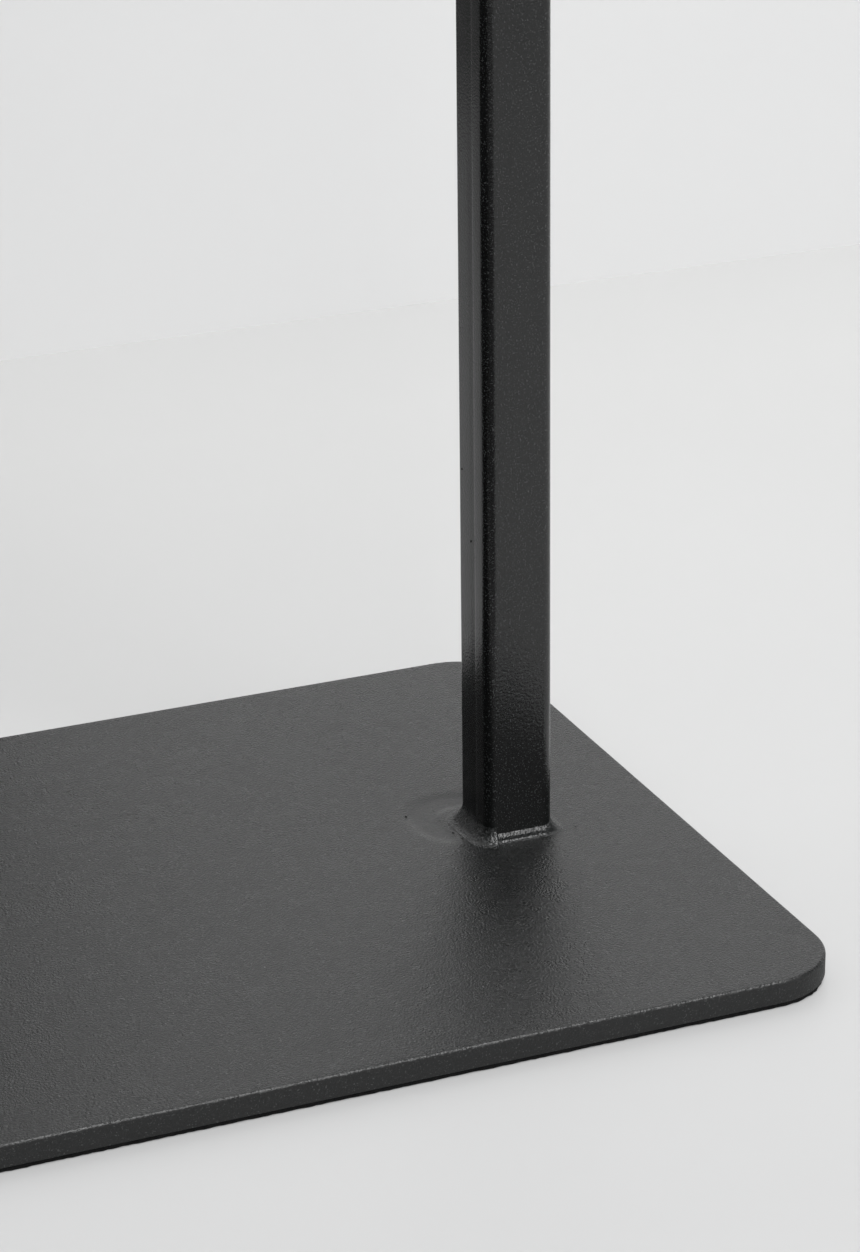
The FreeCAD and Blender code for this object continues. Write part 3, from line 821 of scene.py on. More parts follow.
def stitch_tree():
    """Stitches laid at an even pitch along a closed line, each leaning a little across it."""
    if "Stitches" in bpy.data.node_groups:
        return bpy.data.node_groups["Stitches"]
    group, tree, start, end = geometry_tree(
        "Stitches",
        (("Pitch", "NodeSocketFloat"), ("Length", "NodeSocketFloat"),
         ("Thickness", "NodeSocketFloat"), ("Seed", "NodeSocketInt"),
         ("Finish", "NodeSocketMaterial")),
    )
    line = tree.add("GeometryNodeMeshToCurve")
    tree.link(start.outputs["Geometry"], line.inputs["Mesh"])
    even = tree.add("GeometryNodeResampleCurve", mode="LENGTH")
    tree.link(line.outputs[0], even.inputs["Curve"])
    tree.link(start.outputs["Pitch"], even.inputs["Length"])
    points = tree.add("GeometryNodeCurveToPoints", mode="EVALUATED")
    tree.link(even.outputs[0], points.inputs["Curve"])
    ball = tree.add("GeometryNodeMeshUVSphere")
    ball.inputs["Segments"].default_value = 8
    ball.inputs["Rings"].default_value = 6
    ball.inputs["Radius"].default_value = 0.5
    turn = tree.add("FunctionNodeAlignRotationToVector", axis="X")
    tree.link(points.outputs["Tangent"], turn.inputs["Vector"])
    lean = tree.add("FunctionNodeRandomValue", data_type="FLOAT")
    tree.link(start.outputs["Seed"], lean.inputs["Seed"])
    lean.inputs[2].default_value, lean.inputs[3].default_value = STITCH_LEAN
    axis = tree.add("FunctionNodeAxisAngleToRotation")
    axis.inputs["Axis"].default_value = (0, 0, 1)
    tree.link(lean.outputs[1], axis.inputs["Angle"])
    both = tree.add("FunctionNodeRotateRotation")
    tree.link(turn.outputs[0], both.inputs["Rotation"])
    tree.link(axis.outputs[0], both.inputs["Rotate By"])
    size = tree.add("ShaderNodeCombineXYZ")
    tree.link(start.outputs["Length"], size.inputs[0])
    tree.link(start.outputs["Thickness"], size.inputs[1])
    tree.link(start.outputs["Thickness"], size.inputs[2])
    put_copies(tree, start, end, points.outputs["Points"], ball.outputs["Mesh"],
               both.outputs[0], size.outputs[0])
    return group


# ---------------------------------------------------------------- base


def grid_lines(breaks, steps):
    """Positions from breaks[0] to the last break, evenly stepped inside each stretch, mirrored."""
    half = [breaks[0]]
    for low, high, step in zip(breaks, breaks[1:], steps):
        count = max(1, round((high - low) / step))
        half.extend(low + (high - low) * (i + 1) / count for i in range(count))
    return [-v for v in reversed(half[1:])] + half


DISH_X, DISH_Y = INNER_FACE - 0.0005, 0.0110
DISH_REACH_X, DISH_REACH_Y = 0.0205, 0.0235
DISH_SLOPE = 0.26
DISH_CLEAR_OF_WELD = 0.003


def ground_dish(x, y):
    """How far the plate is ground down beside a foot weld, from 0 to 1."""
    across = (abs(x) - DISH_X) / DISH_REACH_X
    along = (y - DISH_Y) / DISH_REACH_Y
    reach = math.hypot(across, along) + 0.03 * noise.noise(Vector((x, y, 0)) * 120)
    beside = max(0.0, abs(abs(x) - POST_X) - TUBE / 2)
    past = math.hypot(beside, max(0.0, abs(y) - TUBE / 2)) - (WELD_HIGH.z - WELD_LOW.z)
    share = min(1.0, max(0.0, (1 - reach) / DISH_SLOPE))
    clear_of_weld = min(1.0, max(0.0, past / DISH_CLEAR_OF_WELD))
    return share * share * (3 - 2 * share) * clear_of_weld


# Steps of the plate's top, which is fine near the posts' feet.
FINE, COARSE, CORNER_STEP = 0.0013, 0.006, 0.0022
FINE_FROM_X, FINE_TO_Y = 0.120, 0.045
LOW_ARRIS = 0.0006
EDGE_WANDER, EDGE_SETBACK = 0.00005, 0.00003


def plate_mesh():
    """The base plate: a fine top with a ground dish by each post, rounded arrises, flat sides."""
    size = sizes()
    arris = size.plate_arris
    radius = size.plate_corner - arris
    half_x, half_y = PLATE_HIGH.x - arris, PLATE_HIGH.y - arris
    core_x, core_y = half_x - radius, half_y - radius
    top = PLATE_HIGH.z
    xs = grid_lines([0, FINE_FROM_X, core_x, half_x], (COARSE, FINE, CORNER_STEP))
    ys = grid_lines([0, FINE_TO_Y, core_y, half_y], (FINE, COARSE, CORNER_STEP))

    def corner(x, y):
        """Bends the square corner cells into the round corner."""
        u, v = (abs(x) - core_x) / radius, (abs(y) - core_y) / radius
        if u <= 0 or v <= 0:
            return x, y
        bent_x = core_x + radius * u * math.sqrt(1 - v * v / 2)
        bent_y = core_y + radius * v * math.sqrt(1 - u * u / 2)
        return math.copysign(bent_x, x), math.copysign(bent_y, y)

    points, faces = [], []
    for x in xs:
        for y in ys:
            bx, by = corner(x, y)
            points.append(Vector((bx, by, top - size.ground_depth * ground_dish(bx, by))))
    columns, rows = len(xs), len(ys)
    for i in range(columns - 1):
        for j in range(rows - 1):
            a = i * rows + j
            faces.append((a, a + rows, a + rows + 1, a + 1))
    border = [i * rows for i in range(columns)]
    border += [(columns - 1) * rows + j for j in range(1, rows)]
    border += [i * rows + rows - 1 for i in range(columns - 2, -1, -1)]
    border += [j for j in range(rows - 2, 0, -1)]

    def outward_way(p):
        """The direction away from the plate at a border point."""
        u, v = abs(p.x) - core_x, abs(p.y) - core_y
        if u > 1e-6 and v > 1e-6:
            way = Vector((u, v))
        else:
            way = Vector((1, 0)) if abs(p.x) > half_x - 1e-6 else Vector((0, 1))
        way.normalize()
        return Vector((math.copysign(way.x, p.x), math.copysign(way.y, p.y), 0))

    base = PLATE_LOW.z
    side = top - base - arris - LOW_ARRIS
    profile = [(arris * math.sin(a), top - arris + arris * math.cos(a))
               for a in map(math.radians, (15, 30, 45, 60, 75, 90))]
    profile += [(arris, top - arris - side * k / 3) for k in (1, 2, 3)]
    profile += [(arris - LOW_ARRIS + LOW_ARRIS * math.cos(a),
                 base + LOW_ARRIS - LOW_ARRIS * math.sin(a))
                for a in map(math.radians, (30, 60, 90))]
    previous = border
    for out, z in profile:
        ring = []
        for index in border:
            p = points[index]
            wander = noise.noise(Vector((p.x, p.y, z)) * 90) * EDGE_WANDER - EDGE_SETBACK
            q = p + outward_way(p) * (out + min(0.0, wander) * (out / arris))
            q.z = z
            ring.append(len(points))
            points.append(q)
        for k in range(len(border)):
            m = (k + 1) % len(border)
            faces.append((previous[m], previous[k], ring[k], ring[m]))
        previous = ring
    faces.append(tuple(reversed(previous)))
    mesh = mesh_from("base_plate_shape", points, faces)
    ground = mesh.attributes.new("ground", "FLOAT", "POINT")
    ground.data.foreach_set("value", [ground_dish(p.x, p.y) for p in points])
    return mesh


# The felt's cut edge, as (share of its thickness, inset).
FELT_EDGE = ((0.0, 0.0007), (0.12, 0.0002), (0.35, 0.0), (0.65, 0.0), (0.9, 0.0002), (1.0, 0.0008))


def felt_mesh():
    """Felt sheet whose cut edge is soft and slightly uneven."""
    fray = sizes().felt_fray
    size = FELT_HIGH - FELT_LOW
    corner = sizes().plate_corner - (PLATE_HIGH.x - FELT_HIGH.x)
    outline = densified(rounded_rectangle(size.x, size.y, corner, 24), 0.0016)
    rings = []
    for share, inset in FELT_EDGE:
        ring = []
        for point, way in outline:
            z = FELT_LOW.z + size.z * share
            spot = Vector((point.x, point.y, z))
            wander = noise.noise(spot * 420) * 0.6 + noise.noise(spot * 1300) * 0.4
            out = -inset + fray * wander * 0.8
            ring.append(Vector((point.x + way.x * out, point.y + way.y * out, z)))
        rings.append(ring)
    return mesh_from("base_felt_shape", *lofted(rings))


class VALET_OT_base(bpy.types.Operator):
    """Adds the base plate and the felt under it"""

    bl_idname = "valet.base"
    bl_label = "Base plate and felt"

    def execute(self, context):
        finished("base_plate", plate_mesh(), plate_coat(), "frame", "black_steel")
        felt = finished("base_felt", felt_mesh(), black_felt(), "frame", "felt")
        return {"FINISHED"}


# ---------------------------------------------------------------- portal


TUBE_CORNER_STEPS = 10
# The seam across its width, as (place along the face, share of its depth).
SEAM_SHAPE = ((-0.0005, 0.0), (-0.0003, 0.12), (0.0, 0.5), (0.0003, 0.88), (0.0005, 1.0),
              (0.0009, 0.97), (0.0016, 0.8), (0.0024, 0.5), (0.0032, 0.2), (0.0038, 0.05),
              (0.0042, 0.0))


def tube_section(seam_place):
    """Points round the square tube. Its rolled seam is a shallow groove on the -X face."""
    radius, depth = sizes().tube_corner, sizes().seam_depth
    section = [p for p, _ in rounded_rectangle(TUBE, TUBE, radius, TUBE_CORNER_STEPS)]
    corner_end = 2 * (TUBE_CORNER_STEPS + 1)
    seam = [Vector((depth * share - TUBE / 2, seam_place + shift))
            for shift, share in reversed(SEAM_SHAPE)]
    return section[:corner_end] + seam + section[corner_end:]


# Half a nub's outline, as (radius, height) in shares of its radius.
NUB_SHAPE = ((0, -0.4), (1.0, -0.4), (1.0, 0.0), (0.8, 0.35), (0.4, 0.55), (0, 0.6))


def nub(centre, way, radius):
    """A small round blob of coat or weld spatter on a face."""
    return turned([(radius * r, radius * h) for r, h in NUB_SHAPE], centre, way, 10)


POST_SEAM_Y, RAIL_SEAM_Y = -0.0031, 0.0031
POST_LENGTHS, RAIL_HALF_LENGTHS = 40, 12
# Blobs in the posts' coat, as (outer face 1 or inner face -1, y, z, radius).
POST_SPECKS = ((-1, 0.0003, 0.1165, 0.00045), (-1, 0.0075, 0.1400, 0.0004),
               (1, -0.0080, 0.2560, 0.0004), (-1, -0.0060, 0.0335, 0.0004))


def post_mesh(side):
    """One post: square tube with its seam, mitred at the top to meet the rail."""
    base = POST_LOW.z
    rings = []
    for k in range(POST_LENGTHS + 1):
        ring = []
        for p in tube_section(POST_SEAM_Y):
            x = POST_X + p.x
            top = RAIL_HIGH.z - max(0.0, OUTER_FACE - x)
            ring.append(Vector((side * x, p.y, base + (top - base) * (k / POST_LENGTHS))))
        rings.append(ring)
    specks = [nub((side * (POST_X + face * TUBE / 2), y, z), (side * face, 0, 0), radius)
              for face, y, z, radius in POST_SPECKS]
    return solid("post_shape", lofted(rings), *specks, sharp=40)


def rail_mesh():
    """The top rail: square tube along X, mitred at both ends."""
    middle = (RAIL_LOW.z + RAIL_HIGH.z) / 2
    rings = []
    for k in range(2 * RAIL_HALF_LENGTHS + 1):
        ring = []
        for p in tube_section(RAIL_SEAM_Y):
            z = middle + p.x
            end = OUTER_FACE - (RAIL_HIGH.z - z)
            ring.append(Vector((end * (k / RAIL_HALF_LENGTHS - 1), p.y, z)))
        rings.append(ring)
    return solid("rail_shape", lofted(rings), sharp=40)


# The proud bead's section from the plate up to the post, as shares of its leg.
FRONT_BEAD = ((1.00, 0.00), (0.72, 0.07), (0.52, 0.17), (0.44, 0.32), (0.42, 0.50), (0.37, 0.66),
              (0.27, 0.80), (0.16, 0.92), (0.06, 1.03), (0.00, 1.12))
FRONT_BEAD_LEG = 0.0027
RIPPLE_PITCH = 0.0017
# How far the bead's skin wanders, and how far apart in the noise its section's points lie.
CRUST, CRUST_STEP = 0.00016, 0.00045
OUTER_LEG_SHARE = 0.86
# How far the weld's closed back reaches into the post.
SUNK = 0.0004
# Drops of spatter on the plate, as (x out from the post's middle, y, radius).
SPATTER = ((-0.0185, -0.0045, 0.00055), (-0.0172, -0.0078, 0.0005), (-0.0196, 0.0012, 0.0004),
           (-0.0295, 0.0200, 0.0004), (0.0210, -0.0120, 0.0004))


def foot_weld_mesh(side):
    """A bead swept round a post's foot: proud in front, ground to a hollow fillet elsewhere."""
    leg = WELD_HIGH.z - WELD_LOW.z
    rise = sizes().weld_ripple
    outline = densified(rounded_rectangle(TUBE, TUBE, sizes().tube_corner, 16), 0.0004)
    floor = WELD_LOW.z
    rings, run, last = [], 0.0, outline[0][0]
    across = len(FRONT_BEAD) - 1
    for point, way in outline:
        run += (point - last).length
        last = point
        ahead = -way.y
        uneven = 0.95 + 0.10 * noise.noise(Vector((point.x, point.y, side)) * 120)
        if way.x > 0:
            uneven *= OUTER_LEG_SHARE
        if way.x < 0:
            proud = 1.0 if ahead > 0.985 else 0.0
        else:
            proud = min(1.0, max(0.0, (ahead - 0.35) / 0.5))
        slow = noise.noise(Vector((run * 300, 0, 0)))
        wave = 0.5 + 0.5 * math.sin(TAU * run / RIPPLE_PITCH + 2.5 * slow)
        reach = min(leg, leg * uneven)
        hollow = reach * 0.985
        ring = []

        def add_point(out, z):
            ring.append(Vector((side * (POST_X + point.x + way.x * out), point.y + way.y * out, z)))

        for i, (share_out, share_up) in enumerate(FRONT_BEAD):
            a = math.radians(90 * i / across)
            fill = 0.05 * reach * math.sin(2 * a)
            out, up = reach - hollow * math.sin(a) + fill, reach - hollow * math.cos(a) + fill
            crust = CRUST * noise.noise(Vector((point.x, point.y, CRUST_STEP * i)) * 2400)
            bead_out = share_out * FRONT_BEAD_LEG + rise * wave * math.sin(2 * a) + crust
            bead_up = share_up * FRONT_BEAD_LEG + 0.5 * crust
            out += (bead_out - out) * proud
            up += (bead_up - up) * proud
            add_point(out, floor + max(0.0, up))
        add_point(-SUNK, ring[-1].z)
        add_point(-SUNK, floor)
        rings.append(ring)
    rings.append(rings[0])
    drops = [nub((side * (POST_X + x), y, floor), (0, 0, 1), radius) for x, y, radius in SPATTER]
    return solid("foot_weld_shape", lofted(rings, close_ends=False), *drops, sharp=60)


CORNER_WELD_STEPS, CORNER_WELD_ARC = 60, 7
CORNER_RIPPLE, CORNER_RIPPLE_STEPS = 0.00012, 7


def corner_weld_parts():
    """Small rippled beads in the portal's two inner corners."""
    parts = []
    low, high = box_of("top_corner_welds")
    leg = high.z - low.z
    for side in (-1, 1):
        rings = []
        for k in range(CORNER_WELD_STEPS + 1):
            y = low.y + (high.y - low.y) * k / CORNER_WELD_STEPS
            wave = CORNER_RIPPLE * math.sin(TAU * k / CORNER_RIPPLE_STEPS)
            taper = min(1.0, 0.35 + 0.65 * min(k, CORNER_WELD_STEPS - k) / 4)
            ring = []
            for i in range(CORNER_WELD_ARC + 1):
                a = math.radians(90 * i / CORNER_WELD_ARC)
                ripple = wave * math.sin(2 * a)
                out = max(0.0, leg * taper * (1 - 0.9 * math.sin(a)) + ripple)
                up = max(0.0, leg * taper * (1 - 0.9 * math.cos(a)) + ripple)
                ring.append(Vector((side * (INNER_FACE - out), y, high.z - up)))
            ring.append(Vector((side * INNER_FACE, y, high.z)))
            rings.append(ring)
        parts.append(lofted(rings))
    return parts


class VALET_OT_portal(bpy.types.Operator):
    """Adds the posts, the top rail and their welds"""

    bl_idname = "valet.portal"
    bl_label = "Posts, rail and welds"

    def execute(self, context):
        for name, side in (("left", -1), ("right", 1)):
            finished(name + "_post", post_mesh(side), tube_coat(), "frame", "black_steel")
            finished(name + "_foot_weld", foot_weld_mesh(side), weld_coat(), "frame", "weld_bead")
        finished("top_rail", rail_mesh(), tube_coat(), "frame", "black_steel")
        beads = solid("corner_weld_shape", *corner_weld_parts(), sharp=50)
        finished("top_corner_welds", beads, weld_coat(), "frame", "weld_bead")
        return {"FINISHED"}


# ---------------------------------------------------------------- hanger


HANGER_SWEEP = 0.016
HANGER_DROP = 0.040
HANGER_CREST = 1.099
STANDOFF_X = 0.070
STANDOFF_TOP = 1.083
HANGER_TIP = 0.015
HANGER_SIDES = 40
HANGER_MIDDLE_STEPS = 40
HANGER_TIP_INSETS = (0.0, 0.0002, 0.0006, 0.0012, 0.002, 0.003, 0.0045, 0.0065, 0.009, 0.012,
                     HANGER_TIP)


def hanger_ring(x):
    """The hanger's oval at x: deeper and flatter towards the tips, and rounded off at them."""
    share = abs(x) / HANGER_HIGH.x
    blend = share**1.6
    inset = HANGER_HIGH.x - abs(x)
    tip = 1.0
    if inset < HANGER_TIP:
        tip = 0.3 + 0.7 * math.sqrt(max(0.0, 1 - (1 - inset / HANGER_TIP) ** 2))
    depth = (0.026 + 0.020 * blend) * tip / 2
    height = (0.032 - 0.007 * blend) * tip / 2
    y, z = -HANGER_SWEEP * share**2, HANGER_CREST - HANGER_DROP * share**1.8
    turns = [TAU * i / HANGER_SIDES for i in range(HANGER_SIDES)]
    return [Vector((x, y + depth * math.cos(a), z + height * math.sin(a))) for a in turns]


def hanger_mesh():
    """The wooden shoulder piece, with fine stations at its tips and closed ends."""
    half = HANGER_HIGH.x
    steps = range(1, HANGER_MIDDLE_STEPS)
    right = [half - inset for inset in HANGER_TIP_INSETS]
    right += [(half - HANGER_TIP) * (1 - k / HANGER_MIDDLE_STEPS) for k in steps]
    rings = [hanger_ring(x) for x in [-x for x in right] + [0.0] + right[::-1]]

    def caps(ring):
        centre = sum(ring, Vector()) / HANGER_SIDES
        return [[centre.lerp(p, share) for p in ring] for share in (0.75, 0.5, 0.25)]

    return solid("hanger_shape", lofted(caps(rings[0])[::-1] + rings + caps(rings[-1])))


class VALET_OT_hanger(bpy.types.Operator):
    """Adds the wooden hanger and its turned stand-offs"""

    bl_idname = "valet.hanger"
    bl_label = "Hanger"

    def execute(self, context):
        finished("hanger", hanger_mesh(), dark_walnut(), "frame", "walnut")
        tall = STANDOFF_TOP - RAIL_HIGH.z
        profile = [(0, 0), (0.0066, 0), (0.0070, 0.0004), (0.0070, 0.0026), (0.0067, 0.0031),
                   (0.0062, 0.0036), (0.0060, 0.0048), (0.0060, tall - 0.0120),
                   (0.0063, tall - 0.0095), (0.0068, tall - 0.0080), (0.0070, tall - 0.0070),
                   (0.0070, tall), (0, tall)]
        parts = [turned(profile, (side * STANDOFF_X, 0, RAIL_HIGH.z), (0, 0, 1),
                        sizes().ring_steps) for side in (-1, 1)]
        mesh = solid("standoff_shape", *parts, sharp=40)
        finished("hanger_standoffs", mesh, pressed_coat(), "frame", "black_steel")
        return {"FINISHED"}


# ---------------------------------------------------------------- tray


TRAY_WALL, TRAY_FOOT, TRAY_CORNER = 0.0015, 0.004, 0.012
MAT_CORNER = 0.008
# The mat's edge and its pressed border line, as (inset, share of its thickness).
MAT_EDGE = ((0.0005, 0.0), (0.0, 0.3), (0.0001, 0.6), (0.0006, 0.88), (0.0014, 0.97),
            (0.0024, 0.90), (0.0030, 0.84), (0.0036, 0.90), (0.0046, 0.98), (0.0070, 1.0))
STITCH_INSET, STITCH_CORNER, STITCH_HEIGHT = 0.003, 0.005, 0.88
STITCH_THICKNESS, STITCH_FILL = 0.00062, 0.72
PAD_RADIUS = 0.005


def tray_mesh():
    """Pressed pan: rounded foot, straight walls, a rolled rim and a flat floor."""
    low, high = TRAY_LOW, TRAY_HIGH
    outline = densified(
        rounded_rectangle(high.x - low.x, high.y - low.y, TRAY_CORNER, 14), 0.012)
    floor = low.z + TRAY_WALL
    inner_round = TRAY_FOOT - TRAY_WALL
    rim = TRAY_WALL / 2
    middle = (low.z + high.z) / 2
    profile = [(TRAY_FOOT - TRAY_FOOT * math.cos(a), low.z + TRAY_FOOT - TRAY_FOOT * math.sin(a))
               for a in (math.radians(90 - 15 * i) for i in range(7))]
    profile.append((0, middle))
    profile += [(rim - rim * math.cos(a), high.z - rim + rim * math.sin(a))
                for a in (math.radians(30 * i) for i in range(7))]
    profile.append((TRAY_WALL, middle))
    profile += [(TRAY_WALL + inner_round - inner_round * math.cos(a),
                 floor + inner_round - inner_round * math.sin(a))
                for a in (math.radians(18 * i) for i in range(6))]
    return mesh_from("tray_shape", *lofted(inset_rings(outline, profile)))


def mat_mesh():
    """Leather mat with burnished, slightly rounded edges and a pressed border line."""
    size = MAT_HIGH - MAT_LOW
    outline = densified(rounded_rectangle(size.x, size.y, MAT_CORNER, 12), 0.003)
    profile = [(inset, MAT_LOW.z + size.z * share) for inset, share in MAT_EDGE]
    return mesh_from("tray_mat_shape", *lofted(inset_rings(outline, profile)))


class VALET_OT_tray(bpy.types.Operator):
    """Adds the tray, its stitched mat, its pads and its brackets' finish"""

    bl_idname = "valet.tray"
    bl_label = "Tray"

    def execute(self, context):
        finished("tray", tray_mesh(), pressed_coat(), "tray", "black_steel")
        mat = finished("tray_mat", mat_mesh(), brown_leather(), "tray", "leather")
        self.add_stitches(mat)
        self.add_pads()
        for side in ("left", "right"):
            dress(side + "_tray_bracket", pressed_coat())
        return {"FINISHED"}

    def add_stitches(self, mat):
        """Stitches round the mat, in its pressed border line."""
        size, pitch = MAT_HIGH - MAT_LOW, sizes().stitch_pitch
        outline = rounded_rectangle(size.x - 2 * STITCH_INSET, size.y - 2 * STITCH_INSET,
                                    STITCH_CORNER, 10)
        height = MAT_LOW.z + size.z * STITCH_HEIGHT
        line = bpy.data.meshes.new("stitch_line")
        count = len(outline)
        line.from_pydata([(p.x, p.y, height) for p, _ in outline],
                         [(i, (i + 1) % count) for i in range(count)], [])
        stitches = grown(
            "tray_mat_stitches", line, stitch_tree(),
            {"Pitch": pitch, "Length": pitch * STITCH_FILL, "Thickness": STITCH_THICKNESS,
             "Seed": 7, "Finish": waxed_thread()},
        )
        place(stitches, "tray", "leather")

    def add_pads(self):
        """The soft pads on the brackets, under the tray."""
        low, high = box_of("tray_pads")
        radius, tall = PAD_RADIUS, high.z - low.z
        x, y = high.x - radius, high.y - radius
        profile = [(0, 0), (radius - 0.0002, 0), (radius, 0.0003), (radius, tall - 0.0006),
                   (radius - 0.0002, tall - 0.0002), (radius - 0.0006, tall), (0, tall)]
        parts = [turned(profile, (sx * x, sy * y, low.z), (0, 0, 1), sizes().ring_steps)
                 for sx in (-1, 1) for sy in (-1, 1)]
        finished("tray_pads", solid("tray_pad_shape", *parts), matt_rubber(), "frame", "soft_pads")


# ---------------------------------------------------------------- trouser bar, clamp and pegs


def swept_rod(path, radius, steps):
    """A round rod along a list of points, closed at both ends."""
    rings = []
    normal = None
    for i, p in enumerate(path):
        before, after = path[max(0, i - 1)], path[min(len(path) - 1, i + 1)]
        way = (after - before).normalized()
        if normal is None:
            normal = way.orthogonal().normalized()
        normal = (normal - way * normal.dot(way)).normalized()
        other = way.cross(normal)
        rings.append([p + (normal * math.cos(TAU * k / steps) + other * math.sin(TAU * k / steps))
                      * radius for k in range(steps)])
    return lofted(rings)


BAIL_PIVOT = Vector((0, 0, 0.820))
BAIL_FOOT = Vector((0, -0.0144, 0.770))
BAIL_X = 0.1535
BAIL_ROD = 0.004
BAIL_BEND = 0.012
EYE_RADIUS, EYE_BORE, EYE_WIDTH, EYE_EDGE = 0.008, 0.00455, 0.005, 0.0006
SLEEVE_RADIUS, SLEEVE_BORE, SLEEVE_LENGTH, SLEEVE_X = 0.010, 0.00905, 0.042, 0.084
RIB_DEPTH, RIBS_FROM_END = 0.00045, 0.0030
BAR_SEAM_TURN = 0.5


def bail_mesh():
    """The clamp's bent rod and its two turned eyes."""
    down = (BAIL_FOOT - BAIL_PIVOT).normalized()
    start = BAIL_PIVOT + down * (EYE_RADIUS - 0.001)
    bend_start = BAIL_FOOT - down * BAIL_BEND
    shift = Vector((-BAIL_X, 0, 0))
    left = [start.lerp(bend_start, k / 7) + shift for k in range(8)]
    pivot = bend_start + Vector((-(BAIL_X - BAIL_BEND), 0, 0))
    for k in range(1, 13):
        a = math.radians(90 * k / 12)
        left.append(pivot + Vector((-math.cos(a), 0, 0)) * BAIL_BEND
                    + down * (math.sin(a) * BAIL_BEND))
    right = [Vector((-p.x, p.y, p.z)) for p in reversed(left)]
    middle = [left[-1].lerp(right[0], k / 16) for k in range(1, 16)]
    soft, chip = EYE_EDGE, EYE_EDGE * 0.3
    profile = [(EYE_BORE, 0), (EYE_RADIUS - soft, 0), (EYE_RADIUS - chip, chip),
               (EYE_RADIUS, soft), (EYE_RADIUS, EYE_WIDTH - soft),
               (EYE_RADIUS - chip, EYE_WIDTH - chip), (EYE_RADIUS - soft, EYE_WIDTH),
               (EYE_BORE, EYE_WIDTH), (EYE_BORE, 0)]
    eyes = [turned(profile, (side * BAIL_X - EYE_WIDTH / 2, 0, BAIL_PIVOT.z), (1, 0, 0), 48)
            for side in (-1, 1)]
    rod = swept_rod(left + middle + right, BAIL_ROD, 32)
    return solid("clamp_bail_shape", rod, *eyes, sharp=40)


def sleeve_profile():
    """A ribbed rubber sleeve: (radius, distance along), closed through its bore."""
    outer, bore, length, pitch = SLEEVE_RADIUS, SLEEVE_BORE, SLEEVE_LENGTH, sizes().rib_pitch
    profile = [(bore, 0.0), (outer - 0.0006, 0.0), (outer - 0.0002, 0.0003), (outer, 0.0008),
               (outer, 0.0024)]
    at = RIBS_FROM_END
    while at + pitch < length - RIBS_FROM_END:
        profile += [(outer - RIB_DEPTH, at + 0.0003), (outer - RIB_DEPTH, at + 0.0009),
                    (outer, at + 0.0013), (outer, at + pitch - 0.0003)]
        at += pitch
    profile += [(outer, length - 0.0008), (outer - 0.0002, length - 0.0003),
                (outer - 0.0006, length), (bore, length), (bore, 0.0)]
    return profile


def trouser_bar_mesh():
    """Round tube with bevelled ends and a shallow seam under its front."""
    size, steps = sizes(), sizes().ring_steps
    radius, length = (BAR_HIGH.z - BAR_LOW.z) / 2, BAR_HIGH.x - BAR_LOW.x
    edge = size.bar_edge
    profile = [(0, 0), (radius - edge, 0)]
    profile += [(radius, edge + (length - 2 * edge) * k / 24) for k in range(25)]
    profile += [(radius - edge, length), (0, length)]
    points, faces = turned(profile, (BAR_LOW.x, 0, BAR_Z), (1, 0, 0), steps)
    for p in points:
        angle = math.atan2(p.y, BAR_Z - p.z)
        if p.z < BAR_Z and abs(angle - BAR_SEAM_TURN) < math.pi / steps:
            p.z += size.seam_depth
    return solid("trouser_bar_shape", (points, faces), sharp=40)


class VALET_OT_trouser_bar(bpy.types.Operator):
    """Adds the trouser bar, its ribbed sleeves, and the clamp that hangs in front of it"""

    bl_idname = "valet.trouser_bar"
    bl_label = "Trouser bar and clamp"

    def execute(self, context):
        finished("trouser_bar", trouser_bar_mesh(), tube_coat(), "frame", "black_steel")
        starts = (SLEEVE_LOW.x, SLEEVE_X - SLEEVE_LENGTH / 2)
        parts = [turned(sleeve_profile(), (x, 0, BAR_Z), (1, 0, 0), sizes().ring_steps)
                 for x in starts]
        sleeves = solid("sleeve_shape", *parts, sharp=50)
        finished("trouser_bar_sleeves", sleeves, matt_rubber(), "frame", "soft_pads")
        finished("clamp_bail", bail_mesh(), tube_coat(), "clamp", "black_steel")
        return {"FINISHED"}


class VALET_OT_pegs(bpy.types.Operator):
    """Adds the turned pegs on the posts' outer faces"""

    bl_idname = "valet.pegs"
    bl_label = "Pegs"

    def execute(self, context):
        reach, head, stem = 0.028, 0.008, 0.0045
        profile = [(0, 0), (0.0058, 0), (0.0060, 0.0003), (0.0057, 0.0010), (0.0050, 0.0022),
                   (stem, 0.0034), (stem, 0.0120), (stem, 0.0188), (0.0052, 0.0206),
                   (0.0066, 0.0222), (0.0077, 0.0231), (head, 0.0238), (head, 0.0244),
                   (0.0077, 0.0250), (0.0068, 0.0261), (0.0052, 0.0270), (0.0032, 0.0277),
                   (0.0014, 0.0280), (0, reach)]
        heights = (PEG_LOW.z + head, PEG_HIGH.z - head)
        for name, side in (("left", -1), ("right", 1)):
            parts = [turned(profile, (side * OUTER_FACE, 0, z), (side, 0, 0),
                            sizes().ring_steps) for z in heights]
            mesh = solid(name + "_peg_shape", *parts)
            finished(name + "_pegs", mesh, pressed_coat(), "frame", "black_steel")
        return {"FINISHED"}


# ---------------------------------------------------------------- fasteners


SCREW_SIDES = 36
DOME_STEPS = 8
# Screws as (shank radius, head radius, head height, key across flats, length).
BRACKET_SCREW = (0.002, 0.0038, 0.0022, 0.0025, 0.010)
BAR_SCREW = (0.003, 0.00525, 0.0033, 0.004, 0.042)
CLAMP_SCREW = (0.003, 0.00475, 0.00275, 0.003, 0.016)
HANGER_BOLT = (0.003, 0.00525, 0.0033, 0.004, 0.080)
BRACKET_SHEET = 0.0025
EYE_CLEARANCE = 0.0002


